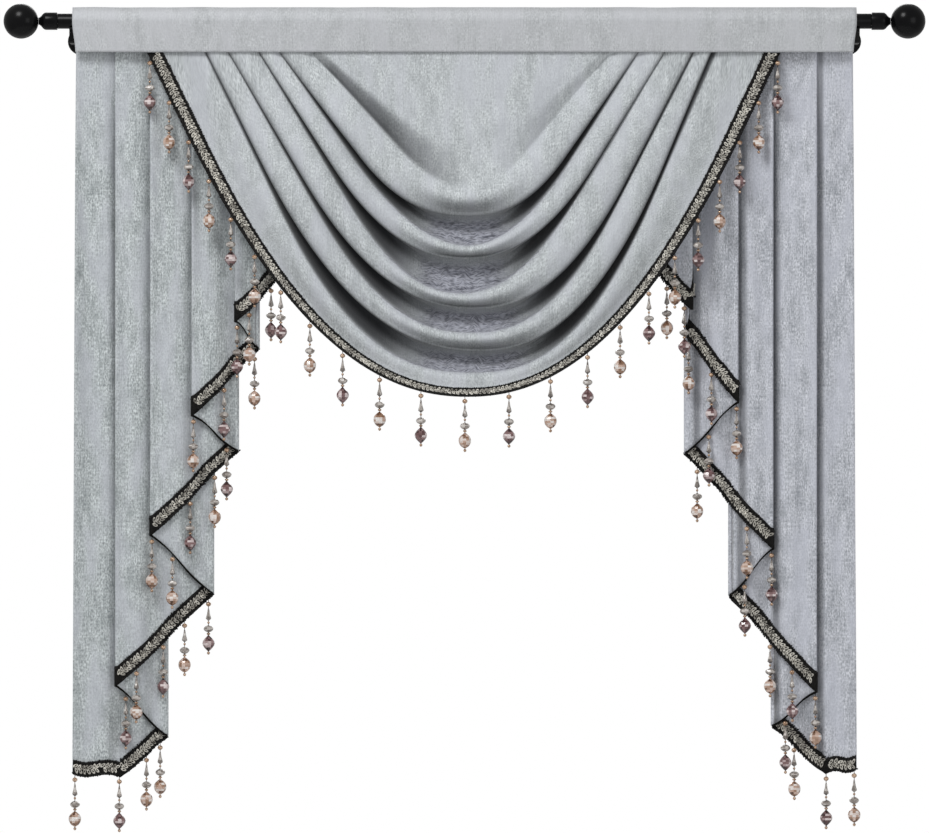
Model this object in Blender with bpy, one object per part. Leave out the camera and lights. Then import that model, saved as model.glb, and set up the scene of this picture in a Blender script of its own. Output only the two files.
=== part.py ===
"""A swag valance hanging on its curtain rod.

A draped swag hangs between two pleated tails. All three are sewn into a rod pocket. The hems carry a
woven braid with bead drops. Lengths in the tables are millimetres, measured from the middle of the rod's
axis: x runs to the right, y to the wall and z up. A drop is a distance below the seam under the pocket.
The whole valance is then placed so that the origin is the middle of the left bracket's wall face.
"""

import bisect
import math
from collections import namedtuple

import bmesh
import bpy
from mathutils import Vector
from mathutils.bvhtree import BVHTree

MM = 0.001

# Rod, finials and brackets
GAP = 0.3
ROD_RADIUS = 9.75
ROD_HALF = 519.0
ROD_SIDES = 24

# End cap: each ring's distance out from the rod's end, and its radius. The last one runs on as a neck to
# the ball.
Ring = namedtuple("Ring", "along radius")
CAP_RINGS = (Ring(GAP, 11.3), Ring(14.5, 11.2), Ring(18.5, 9.4), Ring(23.0, 4.7))
BALL_RADIUS = 22.4
BALL_X = 565.6
BALL_FOOT_RADIUS = 4.6
BALL_END_DEGREES = 169.5
BALL_STEPS = 9
FINIAL_SIDES = 20

# Bracket: a saddle under the rod, an arm and a round wall plate. Angles are measured from straight below
# the rod's axis, towards the wall.
BRACKET_X = 491.5
SADDLE_HALF = 12.5
SADDLE_THICK = 2.6
SADDLE_FRONT_DEGREES = -40.0
SADDLE_BACK_DEGREES = 85.0
ARM_BACK_DEGREES = 35.0
ARM_FRONT_DEGREES = -18.0
SADDLE_STEPS = 8
ARM_STEPS = 3
ARM_HALF = 5.0
ARM_ROOT = 1.0
ARM_TOE = 3.0
PLATE_RADIUS = 17.5
PLATE_THICK = 4.0
PLATE_BEVEL = 1.2
PLATE_DROP = 23.0
PLATE_SIDES = 28
PLATE_OVERLAP = 0.5
WALL_Y = 75.0

# Rod pocket: a band of cloth folded over the rod. Its back foot comes forward in the middle, where only
# the swag is sewn in: middle_share says how far.
HALF_WIDTH = 500.0
SEAM_Z = -39.9
POCKET_THICK = 2.0
POCKET_ROOM = 0.6
RIDGE_Z = 15.3
FRONT_FOOT_Y = -7.9
BACK_FOOT_Y = 11.3
MIDDLE_BACK_Y = -4.6
POCKET_ARC_STEPS = 4
PocketStation = namedtuple("PocketStation", "x middle_share")
POCKET_STATIONS = (PocketStation(120.0, 1.0), PocketStation(150.0, 0.6), PocketStation(212.0, 0.0))

# Notch in the back of the pocket, round each bracket
NOTCH_X = 476.0
NOTCH_Y = 6.0
NOTCH_TOP = 3.0
NOTCH_SIZE = (60.0, 40.0, 64.0)

# Cloth and trim
CLOTH = 1.2
PIN_RISE = 9.0
BRAID_WIDTH = 19.0
BRAID_THICK = 2.3
BRAID_LIP = 3.0
BRAID_ROOM = 1.0
BRAID_LIFT = CLOTH / 2 + BRAID_ROOM + BRAID_THICK / 2

# Swag: each row is a line of cloth hung between two places on the seam, from the highest line to the
# lowest. A roll of cloth shows between its upper and its lower edge, and the cloth runs back into a
# groove below each lower edge. drop and low are the depth and the place of the lowest point. The line's
# bottom is a curve of the given power, up to the share of the half width named straight, and runs
# straight to the seam from there. side and middle are the distances that the cloth stands forward of the
# rod's axis half way up and at the bottom.
HungLine = namedtuple("HungLine", "left right drop low power straight side middle")
UPPER_EDGES = (
    HungLine(-195.6, 186.6, 176, 3, 2.0, 0.40, 15, 35),
    HungLine(-236, 222, 248, 3, 2.2, 0.40, 25, 38),
    HungLine(-266, 256, 308, -1, 2.6, 0.47, 26, 39),
    HungLine(-301, 287, 358, 3, 2.3, 0.62, 27, 40),
    HungLine(-334, 316, 413, 7, 2.4, 0.65, 28, 41),
)
LOWER_EDGES = (
    HungLine(-234, 220, 211, 0, 3.0, 0.52, 28, 36),
    HungLine(-264, 254, 267, -3, 2.9, 0.55, 28, 38),
    HungLine(-299, 285, 328, 3, 2.4, 0.65, 29, 39),
    HungLine(-332, 314, 382, 7, 2.4, 0.65, 30, 40),
)
UPPER_HEADER = 4.0
LOWER_HEADER = 5.7

# Lines on a roll, between its two edges. bulge is added to the edges' own distance forward.
RollLine = namedtuple("RollLine", "share header bulge_side bulge_middle")
ROLL_LINES = (RollLine(0.36, 6.4, 7, 10), RollLine(0.78, 6.6, 5, 6))

# Lines in a groove, between a lower edge and the next upper edge. tuck moves them in behind the roll above.
GrooveLine = namedtuple("GrooveLine", "share_side share_middle tuck header back_side back_middle")
GROOVE_LINES = (
    GrooveLine(0.05, 0.12, 2.5, 4.8, 9, 8),
    GrooveLine(0.15, 0.28, 9.0, 4.4, 21, 17),
    GrooveLine(0.40, 0.46, 10.5, 3.2, 25, 19),
    GrooveLine(0.70, 0.72, 7.0, 2.5, 18, 10),
)

# The flat panel between the seam and the first roll
PanelLine = namedtuple("PanelLine", "share side middle")
PANEL_HALF = 168.0
PANEL_HEADER = 6.2
PANEL_LINES = (
    PanelLine(0.0, 6.2, 6.2),
    PanelLine(0.38, 6.5, 8),
    PanelLine(0.70, 5.5, 14),
    PanelLine(0.90, 4.5, 22),
)

# Hem of the swag, along the edge of the cloth
HEM = HungLine(-402.0, 400.0, 438.5, 4, 2.17, 0.87, 33, 62)
HEM_HEADER = 5.6
HemLine = namedtuple("HemLine", "share bulge_side bulge_middle")
HEM_LINES = (HemLine(0.35, 4, 2), HemLine(0.72, 0, 0))
BRAID_SHOWN_LOW = 8.8
BRAID_END_DROP = 0.8
SWAG_DROPS = 23
SWAG_DROP_MARGIN = 8.0

SWAG_STATIONS = (0.06, 0.12, 0.18, 0.25, 0.32, 0.4, 0.48, 0.56, 0.64, 0.72, 0.79, 0.85, 0.91, 0.96, 1.0)
SIDE_STATION = 0.6
HEADER_STATION = 0.95
TUCK_STATION = 0.4
UPRIGHT_STATION = 0.9

# Tails: each row is the end of one run of cloth, from the outer edge to the inner one. Odd runs face the
# room and even ones face back. hem is the drop of the braid's lower edge, beads are the x places of the
# bead drops on the run.
Run = namedtuple("Run", "x hem columns beads")
LEFT_TAIL = (
    Run(-500.0, 921.0, 0, ()),
    Run(-440.0, 925.5, 3, (-497.0, -441.0)),
    Run(-379.0, 876.5, 2, (-406.4, -389.2)),
    Run(-445.3, 810.0, 2, (-432.5,)),
    Run(-320.4, 694.3, 4, (-418.5, -384.9, -357.6, -327.4)),
    Run(-400.7, 617.9, 2, (-372.8, -400.7)),
    Run(-288.6, 510.9, 4, (-350.1, -319.1)),
    Run(-347.8, 465.0, 2, (-303.9, -347.8)),
    Run(-261.8, 380.9, 3, (-306.9, -268.2)),
    Run(-292.4, 345.3, 1, (-292.4,)),
    Run(-222.3, 276.5, 3, (-274.5, -247.0)),
)
RIGHT_TAIL = (
    Run(500.0, 915.3, 0, ()),
    Run(461.0, 921.0, 2, (497.0, 461.5)),
    Run(391.8, 862.5, 2, (421.0,)),
    Run(449.1, 817.9, 2, (409.6, 449.1)),
    Run(337.6, 696.9, 4, (418.0, 390.2)),
    Run(393.7, 635.7, 2, (357.7, 393.7)),
    Run(280.9, 514.7, 4, (360.3, 297.5)),
    Run(349.1, 448.4, 2, (312.0, 349.1)),
    Run(281.5, 364.4, 3, (315.0, 284.5)),
    Run(290.5, 331.2, 1, ()),
    Run(223.6, 258.6, 3, (280.3, 258.2)),
)
KINK_RUN = 1
TAIL_SEAT = 0.6
TAIL_PITCH_TOP = 3.4
TAIL_PITCH_LOW = 13.0
TAIL_SHARE_TOP = 0.45
TAIL_SHARE_LOW = 0.33
TAIL_SPREAD_DROP = 165.0
TAIL_LEVELS = (-PIN_RISE, 0.0, 28.0, 65.0, 110.0, 165.0)
FOLD_STEPS = 3
WAVE_DEPTH = 2.2
WAVE_LENGTH = 61.0

# Bead drop: each ring's distance down from the braid's edge, and its radius
BEAD_RINGS = (
    Ring(-1.6, 0.8),
    Ring(5.6, 2.7),
    Ring(9.2, 1.0),
    Ring(21.5, 3.1),
    Ring(29.5, 1.7),
    Ring(37.5, 6.2),
    Ring(43.8, 1.7),
    Ring(55.5, 7.2),
    Ring(71.0, 1.2),
)
BEAD_SIDES = 4
BEAD_CLEARANCE = 1.2
TILT_STEPS = 25
TILT_STEP_DEGREES = 0.5


def clear_scene():
    for obj in list(bpy.data.objects):
        bpy.data.objects.remove(obj)


def make_material(name, colour, roughness, metallic=0.0):
    material = bpy.data.materials.new(name)
    material.use_nodes = True
    shader = material.node_tree.nodes["Principled BSDF"]
    shader.inputs["Base Color"].default_value = (*colour, 1.0)
    shader.inputs["Roughness"].default_value = roughness
    shader.inputs["Metallic"].default_value = metallic
    return material


def add_object(name, mesh, material, parent):
    obj = bpy.data.objects.new(name, mesh)
    bpy.context.scene.collection.objects.link(obj)
    obj.data.materials.append(material)
    obj.parent = parent
    return obj


def mesh_from(name, points, faces):
    mesh = bpy.data.meshes.new(name)
    mesh.from_pydata([Vector(p) * MM for p in points], [], faces)
    mesh.validate()
    return mesh


def grid_faces(rows, columns, closed=False):
    """Quads between neighbouring rows of a grid that is stored row by row."""
    faces = []
    for r in range(rows - 1):
        for c in range(columns if closed else columns - 1):
            d = (c + 1) % columns
            faces.append((r * columns + c, r * columns + d, (r + 1) * columns + d, (r + 1) * columns + c))
    return faces


def sheet_faces(rows, columns):
    """The quads of a grid, each cut along the same diagonal, so that sheets laid on each other stay
    parallel."""
    faces = []
    for a, b, c, d in grid_faces(rows, columns):
        faces += [(a, b, c), (a, c, d)]
    return faces


def turned_mesh(name, profile, sides, axis):
    """A closed solid of revolution. profile lists (place along axis, radius), and the ends are capped."""
    points = []
    for along, radius in profile:
        for i in range(sides):
            angle = 2 * math.pi * i / sides
            ring = [radius * math.cos(angle), radius * math.sin(angle)]
            ring.insert(axis, along)
            points.append(ring)
    faces = grid_faces(len(profile), sides, closed=True)
    last = (len(profile) - 1) * sides
    faces.append(tuple(range(sides)))
    faces.append(tuple(range(last, last + sides)))
    mesh = mesh_from(name, points, faces)
    return outward(mesh)


def outward(mesh):
    """Turns every face of a closed mesh to point out."""
    form = bmesh.new()
    form.from_mesh(mesh)
    bmesh.ops.recalc_face_normals(form, faces=form.faces)
    form.to_mesh(mesh)
    form.free()
    return mesh


def smooth_step(t):
    t = min(1.0, max(0.0, t))
    return t * t * (3 - 2 * t)


def blend(a, b, t):
    return a + (b - a) * t


def along_steps(value, steps, results):
    """Piecewise linear reading of a short table, carried on past its last two steps."""
    i = min(max(bisect.bisect_right(steps, value) - 1, 0), len(steps) - 2)
    share = (value - steps[i]) / (steps[i + 1] - steps[i])
    return blend(results[i], results[i + 1], share)


def make_rod(material, parent):
    profile = [(-ROD_HALF, ROD_RADIUS), (ROD_HALF, ROD_RADIUS)]
    add_object("rod", turned_mesh("rod", profile, ROD_SIDES, 0), material, parent)


def make_finial(side, material, parent):
    """The cap that closes the rod's end, and the ball on it."""
    label = "left" if side < 0 else "right"
    start = math.asin(BALL_FOOT_RADIUS / BALL_RADIUS)
    end = math.radians(BALL_END_DEGREES)
    ball = []
    for i in range(BALL_STEPS + 1):
        angle = blend(start, end, i / BALL_STEPS)
        ball.append((BALL_X - BALL_RADIUS * math.cos(angle), BALL_RADIUS * math.sin(angle)))
    cap = [(ROD_HALF + along, radius) for along, radius in CAP_RINGS]
    cap.append((ball[0][0] - GAP, CAP_RINGS[-1].radius))
    for name, profile in ((f"end_cap_{label}", cap), (f"ball_finial_{label}", ball)):
        turned = [(side * along, radius) for along, radius in profile]
        add_object(name, turned_mesh(name, turned, FINIAL_SIDES, 0), material, parent)


def extruded_outline(name, outline, x_low, x_high):
    """A closed prism along x from an outline of (y, z) points."""
    points = [(x, y, z) for x in (x_low, x_high) for y, z in outline]
    count = len(outline)
    faces = grid_faces(2, count, closed=True)
    faces.append(tuple(range(count)))
    faces.append(tuple(range(count, 2 * count)))
    return outward(mesh_from(name, points, faces))


def below_rod(radius, degrees):
    """A point of the bracket's section, at an angle from straight below the rod's axis: y and z."""
    angle = math.radians(degrees)
    return radius * math.sin(angle), -radius * math.cos(angle)


def bracket_outline():
    """Saddle under the rod, with the arm that runs back to the wall plate, seen from the end of the rod."""
    inner = ROD_RADIUS + GAP
    outer = inner + SADDLE_THICK
    arm_top = -PLATE_DROP + ARM_HALF
    arm_low = -PLATE_DROP - ARM_HALF
    arm_end = WALL_Y - PLATE_THICK + PLATE_OVERLAP
    outline = []
    for i in range(SADDLE_STEPS + 1):
        outline.append(below_rod(inner, blend(SADDLE_FRONT_DEGREES, SADDLE_BACK_DEGREES, i / SADDLE_STEPS)))
    for i in range(ARM_STEPS + 1):
        outline.append(below_rod(outer, blend(SADDLE_BACK_DEGREES, ARM_BACK_DEGREES, i / ARM_STEPS)))
    outline.append((outline[-1][0] + ARM_ROOT, arm_top))
    outline += [(arm_end, arm_top), (arm_end, arm_low)]
    outline += [(-ARM_ROOT, arm_low), (-ARM_ROOT - ARM_TOE, arm_low + ARM_TOE)]
    return outline + [below_rod(outer, ARM_FRONT_DEGREES), below_rod(outer, SADDLE_FRONT_DEGREES)]


def make_bracket(side, material, parent):
    label = "left" if side < 0 else "right"
    name = f"bracket_{label}"
    middle = side * BRACKET_X
    arm = extruded_outline(name, bracket_outline(), middle - SADDLE_HALF, middle + SADDLE_HALF)
    bracket = add_object(name, arm, material, parent)
    plate_y = WALL_Y - PLATE_THICK
    profile = [
        (plate_y, PLATE_RADIUS - PLATE_BEVEL),
        (plate_y + PLATE_BEVEL, PLATE_RADIUS),
        (WALL_Y, PLATE_RADIUS),
    ]
    plate_mesh = turned_mesh(f"{name}_plate", profile, PLATE_SIDES, 1)
    plate = add_object(plate_mesh.name, plate_mesh, material, parent)
    plate.location = (middle * MM, 0, -PLATE_DROP * MM)
    plate.hide_render = True
    plate.display_type = "WIRE"
    union = bracket.modifiers.new("wall plate", "BOOLEAN")
    union.operation = "UNION"
    union.object = plate


def wrapped_side(foot_y, radius, ridge):
    """One side of a fold over the rod: from the foot at the seam, round the rod and up to the ridge.

    foot_y is measured away from the rod's middle, on whichever side is being drawn.
    """
    reach = math.hypot(foot_y, SEAM_Z)
    leaving = math.atan2(foot_y, SEAM_Z) % (2 * math.pi) - math.acos(radius / reach)
    meeting = math.acos(radius / ridge)
    points = [(foot_y, SEAM_Z)]
    for i in range(POCKET_ARC_STEPS + 1):
        angle = blend(leaving, meeting, i / POCKET_ARC_STEPS)
        points.append((radius * math.sin(angle), radius * math.cos(angle)))
    return points


def pocket_outline(middle_share):
    """Section of the rod pocket: a band folded over the rod, open below, where the cloth is sewn in."""
    inner_radius = ROD_RADIUS + POCKET_ROOM
    outer_radius = inner_radius + POCKET_THICK
    back_foot = blend(BACK_FOOT_Y, MIDDLE_BACK_Y, middle_share)
    front = [(-y, z) for y, z in wrapped_side(-FRONT_FOOT_Y, inner_radius, RIDGE_Z)]
    back = wrapped_side(back_foot, inner_radius, RIDGE_Z)
    top = RIDGE_Z + POCKET_THICK
    outer_front = [(-y, z) for y, z in wrapped_side(POCKET_THICK - FRONT_FOOT_Y, outer_radius, top)]
    outer_back = wrapped_side(back_foot + POCKET_THICK, outer_radius, top)
    ridge = [(POCKET_THICK / 2, top), (-POCKET_THICK / 2, top)]
    return front + [(0.0, RIDGE_Z)] + back[::-1] + outer_back + ridge + outer_front[::-1]


def make_pocket(material, parent):
    half = [*POCKET_STATIONS, PocketStation(HALF_WIDTH, 0.0)]
    stations = [PocketStation(-x, share) for x, share in reversed(half)] + half
    points = []
    for x, share in stations:
        points += [(x, y, z) for y, z in pocket_outline(share)]
    count = len(points) // len(stations)
    faces = grid_faces(len(stations), count, closed=True)
    last = (len(stations) - 1) * count
    faces.append(tuple(range(count)))
    faces.append(tuple(range(last, last + count)))
    pocket = add_object("rod_pocket", outward(mesh_from("rod_pocket", points, faces)), material, parent)
    for side in (-1, 1):
        width, depth, height = (length * MM for length in NOTCH_SIZE)
        centre = (side * (NOTCH_X * MM + width / 2), NOTCH_Y * MM + depth / 2, NOTCH_TOP * MM - height / 2)
        bpy.ops.mesh.primitive_cube_add(size=1, location=centre)
        cutter = bpy.context.object
        cutter.name = f"bracket_notch_{'left' if side < 0 else 'right'}"
        cutter.parent = parent
        cutter.scale = (width, depth, height)
        cutter.hide_render = True
        cutter.display_type = "WIRE"
        notch = pocket.modifiers.new(cutter.name, "BOOLEAN")
        notch.operation = "DIFFERENCE"
        notch.object = cutter


def hung_place(station, line):
    """Where a line of cloth passes at one station, from -1 at its left end to 1 at its right: x and drop."""
    s = abs(station)
    reach = line.low - line.left if station < 0 else line.right - line.low
    bottom = line.straight**line.power
    slope = line.power * line.straight ** (line.power - 1)
    scale = 1 / (bottom + slope * (1 - line.straight))
    reach *= 1 + PIN_RISE / (scale * slope * line.drop)
    fall = scale * (bottom + slope * (s - line.straight)) if s > line.straight else scale * s**line.power
    return Vector((line.low + math.copysign(reach * s, station), blend(line.drop, -PIN_RISE, fall)))


def forward_of(station, header, side, middle):
    """A distance that is named at the seam, half way up and at the bottom, read at one station."""
    s = abs(station)
    if s < SIDE_STATION:
        return blend(middle, side, smooth_step(s / SIDE_STATION))
    return blend(side, header, smooth_step((s - SIDE_STATION) / (HEADER_STATION - SIDE_STATION)))


def panel_rows(station, first_edge):
    """The flat panel, from the seam down to the first roll."""
    top = Vector((station * PANEL_HALF, -PIN_RISE))
    rows = []
    for line in PANEL_LINES:
        place = top.lerp(first_edge, line.share)
        rows.append((*place, forward_of(station, PANEL_HEADER, line.side, line.middle)))
    return rows


def roll_rows(station, upper, lower):
    """One roll, from its upper edge to its lower one."""
    top, foot = hung_place(station, upper), hung_place(station, lower)
    rows = [(*top, forward_of(station, UPPER_HEADER, upper.side, upper.middle))]
    for line in ROLL_LINES:
        side = blend(upper.side, lower.side, line.share) + line.bulge_side
        middle = blend(upper.middle, lower.middle, line.share) + line.bulge_middle
        rows.append((*top.lerp(foot, line.share), forward_of(station, line.header, side, middle)))
    return rows + [(*foot, forward_of(station, LOWER_HEADER, lower.side, lower.middle))]


def groove_rows(station, lower, upper):
    """The groove between one roll's lower edge and the next roll's upper edge."""
    top, foot = hung_place(station, lower), hung_place(station, upper)
    rows = []
    for line in GROOVE_LINES:
        share = blend(line.share_middle, line.share_side, smooth_step(abs(station) / TUCK_STATION))
        place = top.lerp(foot, share)
        place.x -= math.copysign(line.tuck * smooth_step(abs(station) / TUCK_STATION), station)
        side, middle = lower.side - line.back_side, lower.middle - line.back_middle
        rows.append((*place, forward_of(station, line.header, side, middle)))
    return rows


def swag_column(station):
    """The points of the swag at one station, from the seam down to the hem: x, drop, distance forward."""
    column = panel_rows(station, hung_place(station, UPPER_EDGES[0]))
    for number, lower in enumerate(LOWER_EDGES):
        column += roll_rows(station, UPPER_EDGES[number], lower)
        column += groove_rows(station, lower, UPPER_EDGES[number + 1])
    last = UPPER_EDGES[-1]
    edge = (*hung_place(station, last), forward_of(station, UPPER_HEADER, last.side, last.middle))
    top = braid_top(station)
    column.append(edge)
    for line in HEM_LINES:
        x, drop, forward = (blend(edge[i], top[i], line.share) for i in range(3))
        column.append((x, drop, forward + forward_of(station, 0, line.bulge_side, line.bulge_middle)))
    return column + [top, swag_hem(station)]


def swag_hem(station):
    return (*hung_place(station, HEM), forward_of(station, HEM_HEADER, HEM.side, HEM.middle))


def braid_top(station):
    """The line inside the hem where the braid's upper edge lies. It leans back most at the bottom."""
    step = 0.01
    x, drop, forward = swag_hem(station)
    along = (hung_place(station + step, HEM) - hung_place(station - step, HEM)).normalized()
    covered = BRAID_WIDTH - BRAID_LIP
    shown = blend(BRAID_SHOWN_LOW, covered, min(1.0, abs(station) / UPRIGHT_STATION) ** 2)
    lean = math.sqrt(max(0.0, covered**2 - shown**2))
    inward = Vector((along.y, -along.x)) * shown
    return x + inward.x, max(drop + inward.y, -PIN_RISE), forward - lean


def swag_stations():
    return [-s for s in reversed(SWAG_STATIONS)] + [0.0] + list(SWAG_STATIONS)


def to_point(x, drop, forward):
    return Vector((x, -forward, SEAM_Z - drop))


def solidify(obj, thickness):
    wall = obj.modifiers.new("thickness", "SOLIDIFY")
    wall.thickness = thickness * MM
    wall.offset = 0.0
    return obj


def make_swag(material, parent):
    columns = [[to_point(*p) for p in swag_column(s)] for s in swag_stations()]
    rows = len(columns[0])
    points = [column[r] for r in range(rows) for column in columns]
    mesh = mesh_from("swag", points, sheet_faces(rows, len(columns)))
    solidify(add_object("swag", mesh, material, parent), CLOTH)
    return points, rows


def strip_normal(uppers, lowers, i):
    """The direction that a strip's column i faces, square to its width and to its run."""
    before, after = max(i - 1, 0), min(i + 1, len(uppers) - 1)
    run = (uppers[after] + lowers[after]) - (uppers[before] + lowers[before])
    return run.cross(lowers[i] - uppers[i]).normalized()


def make_braid(name, uppers, lowers, facing, material, parent):
    """A woven strip laid on the cloth between two lines of points, lifted to the side named by facing."""
    centres = []
    for i in range(len(uppers)):
        normal = strip_normal(uppers, lowers, i) * facing
        down = (lowers[i] - uppers[i]).normalized()
        lift = normal * BRAID_LIFT
        centres.append((uppers[i] + lift, lowers[i] + down * BRAID_LIP + lift))
    points = [pair[r] for r in (0, 1) for pair in centres]
    mesh = mesh_from(name, points, sheet_faces(2, len(centres)))
    return solidify(add_object(name, mesh, material, parent), BRAID_THICK), centres


def swag_braid_lines():
    """The lines of the swag's braid, cut off level just under the pocket."""
    lines = []
    for line in (braid_top, swag_hem):
        points = [to_point(*line(s)) for s in swag_stations()]
        for end, inner in ((0, 1), (-1, -2)):
            share = (SEAM_Z - BRAID_END_DROP - points[inner].z) / (points[end].z - points[inner].z)
            points[end] = points[inner].lerp(points[end], share)
        lines.append(points)
    return lines


def spaced_along(line, count, margin):
    """count places at equal distances along a line of points."""
    lengths = [0.0]
    for a, b in zip(line, line[1:]):
        lengths.append(lengths[-1] + (b - a).length)
    found = []
    for i in range(count):
        place = blend(margin, lengths[-1] - margin, i / (count - 1))
        k = min(bisect.bisect_right(lengths, place), len(line) - 1) - 1
        found.append(line[k].lerp(line[k + 1], (place - lengths[k]) / (lengths[k + 1] - lengths[k])))
    return found


def tail_steps(table):
    """The outer folds' places, outermost first.

    The stack of layers steps back by one pitch from each to the next.
    """
    steps = [-abs(table[0].x)]
    steps += [-abs(run.x) for run in table[3::2]]
    return steps + [-abs(table[-1].x)]


def tail_front(table):
    """The y place of a tail's front, set so that its rearmost fold lies against the back of the pocket."""
    steps = tail_steps(table)
    deepest = max(
        along_steps(-abs(table[number].x), steps, range(len(steps))) - layer_of(number)
        for number in range(KINK_RUN + 1, len(table), 2)
    )
    return BACK_FOOT_Y - TAIL_SEAT - CLOTH / 2 - TAIL_PITCH_TOP * deepest


def tail_depth(table, x, layer, faces_back, drop):
    """The y place of one layer of a tail.

    Layers lie like roof tiles, and stand further apart below the pocket.
    """
    spread = smooth_step(drop / TAIL_SPREAD_DROP)
    pitch = blend(TAIL_PITCH_TOP, TAIL_PITCH_LOW, spread)
    share = blend(TAIL_SHARE_TOP, TAIL_SHARE_LOW, spread)
    steps = tail_steps(table)
    behind = along_steps(-abs(x), steps, range(len(steps))) - layer
    if faces_back:
        behind += share
    wave = spread * WAVE_DEPTH * math.sin(2 * math.pi * abs(x) / WAVE_LENGTH)
    return tail_front(table) + pitch * behind + wave


def faces_back(number):
    return number > KINK_RUN + 1 and number % 2 == 1


def layer_of(number):
    """Layers are counted from the outer edge. A run that faces back belongs to the layer in front of it."""
    return max(0, (number - 1) // 2 if faces_back(number) else number // 2 - 1)


TailColumn = namedtuple("TailColumn", "run angle x")


def tail_columns(table):
    """The columns of a tail, outer edge first.

    On a fold, angle runs from 0 on the rear run to pi on the front one.
    """
    columns = [TailColumn(1, None, table[0].x)]
    for number in range(1, len(table)):
        start, end = table[number - 1], table[number]
        if number > KINK_RUN + 1:
            columns += [TailColumn(number, math.pi * k / FOLD_STEPS, start.x) for k in range(FOLD_STEPS + 1)]
        for k in range(1, end.columns + 1):
            columns.append(TailColumn(number, None, blend(start.x, end.x, k / (end.columns + 1))))
        if number == KINK_RUN:
            columns.append(TailColumn(number, None, end.x))
    columns.append(TailColumn(len(table) - 1, None, table[-1].x))
    return columns


def tail_fold(table, column, drop):
    """A fold at one height: the middle of its round, its radius and the side it bulges to."""
    rear, front = column.run - 1, column.run
    outward_side = 1 if table[0].x > 0 else -1
    side = -outward_side if faces_back(front) else outward_side
    radius = 0.0
    for _ in range(2):
        centre_x = column.x - side * radius
        y_rear = tail_depth(table, centre_x, layer_of(rear), faces_back(rear), drop)
        y_front = tail_depth(table, centre_x, layer_of(front), faces_back(front), drop)
        radius = (y_rear - y_front) / 2
    return centre_x, (y_rear + y_front) / 2, radius, side


def tail_point(table, column, drop):
    """Where a column of a tail passes at one height."""
    if column.angle is None:
        y = tail_depth(table, column.x, layer_of(column.run), faces_back(column.run), drop)
        return Vector((column.x, y, SEAM_Z - drop))
    centre_x, centre_y, radius, side = tail_fold(table, column, drop)
    x = centre_x + side * radius * math.sin(column.angle)
    return Vector((x, centre_y + radius * math.cos(column.angle), SEAM_Z - drop))


def run_hem(table, number, x):
    """The drop of the braid's lower edge on one run, and how much longer a braid's width is when taken
    upright."""
    start, end = table[number - 1], table[number]
    slope = (end.hem - start.hem) / (end.x - start.x)
    return start.hem + slope * (x - start.x), math.sqrt(1 + slope * slope)


def tail_hem(table, column):
    drop, lean = run_hem(table, column.run, column.x)
    if column.angle is None:
        return drop, lean
    centre_x = tail_fold(table, column, drop)[0]
    rear = run_hem(table, column.run - 1, centre_x)
    front = run_hem(table, column.run, centre_x)
    turned = column.angle / math.pi
    return blend(rear[0], front[0], turned), blend(rear[1], front[1], turned)


def make_tail(label, table, material, parent):
    """One tail: cloth pleated to and fro, longest at its outer edge.

    Also gives the lines that its braid follows.
    """
    columns = tail_columns(table)
    uppers, lowers = [], []
    for column in columns:
        drop, lean = tail_hem(table, column)
        uppers.append(tail_point(table, column, drop - BRAID_WIDTH * lean))
        lowers.append(tail_point(table, column, drop - BRAID_LIP * lean))
    points = [tail_point(table, column, level) for level in TAIL_LEVELS for column in columns]
    points += uppers + lowers
    mesh = mesh_from(f"tail_{label}", points, sheet_faces(len(TAIL_LEVELS) + 2, len(columns)))
    solidify(add_object(f"tail_{label}", mesh, material, parent), CLOTH)
    return points, columns, uppers, lowers


def tail_roots(table, columns, centres):
    """Where the bead drops hang from a tail's braid: at the x places that the table names, on each run."""
    roots = []
    for number, run in enumerate(table):
        for x in run.beads:
            found = []
            for i in range(len(columns) - 1):
                if number not in (columns[i].run, columns[i + 1].run):
                    continue
                a, b = centres[i][1], centres[i + 1][1]
                if abs(b.x - a.x) < 0.01:
                    continue
                place = a.lerp(b, min(1.0, max(0.0, (x - a.x) / (b.x - a.x))))
                found.append((abs(place.x - x), i, place))
            roots.append(min(found)[2])
    return roots


def bead_drop(root, tilt):
    """The rings of one bead drop, hung from root with its foot swung forward by the angle tilt."""
    rings = []
    for along, radius in BEAD_RINGS:
        lean = tilt if along > 0 else 0.0
        centre = root + Vector((0, -along * math.sin(lean), -along * math.cos(lean)))
        rings.append((centre, radius))
    return rings


def hang_drop(root, obstacles):
    """Swings a bead drop forward until its beads clear the cloth and braid near it."""
    best = None
    for step in range(TILT_STEPS):
        rings = bead_drop(root, math.radians(step * TILT_STEP_DEGREES))
        room = math.inf
        for centre, radius in rings[1:]:
            for tree, half in obstacles:
                near = tree.find_nearest(centre)
                room = min(room, near[3] - radius - half)
        if best is None or room > best[0]:
            best = (room, rings)
        if room >= BEAD_CLEARANCE:
            break
    return best[1]


def make_trim(braid, roots, obstacles, parent):
    """Fuses bead drops into a braid."""
    points, faces = [], []
    for root in roots:
        rings = hang_drop(root, obstacles)
        first = len(points)
        for centre, radius in rings:
            for i in range(BEAD_SIDES):
                angle = 2 * math.pi * (i + 0.5) / BEAD_SIDES
                points.append(centre + Vector((radius * math.cos(angle), radius * math.sin(angle), 0)))
        strand = grid_faces(len(rings), BEAD_SIDES, closed=True)
        strand.append(tuple(range(BEAD_SIDES)))
        last = (len(rings) - 1) * BEAD_SIDES
        strand.append(tuple(range(last, last + BEAD_SIDES)))
        faces += [tuple(first + k for k in face) for face in strand]
    mesh = outward(mesh_from(f"{braid.name}_drops", points, faces))
    drops = bpy.data.objects.new(mesh.name, mesh)
    bpy.context.scene.collection.objects.link(drops)
    drops.parent = parent
    drops.hide_render = True
    drops.display_type = "WIRE"
    union = braid.modifiers.new("bead drops", "BOOLEAN")
    union.operation = "UNION"
    union.object = drops


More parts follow.
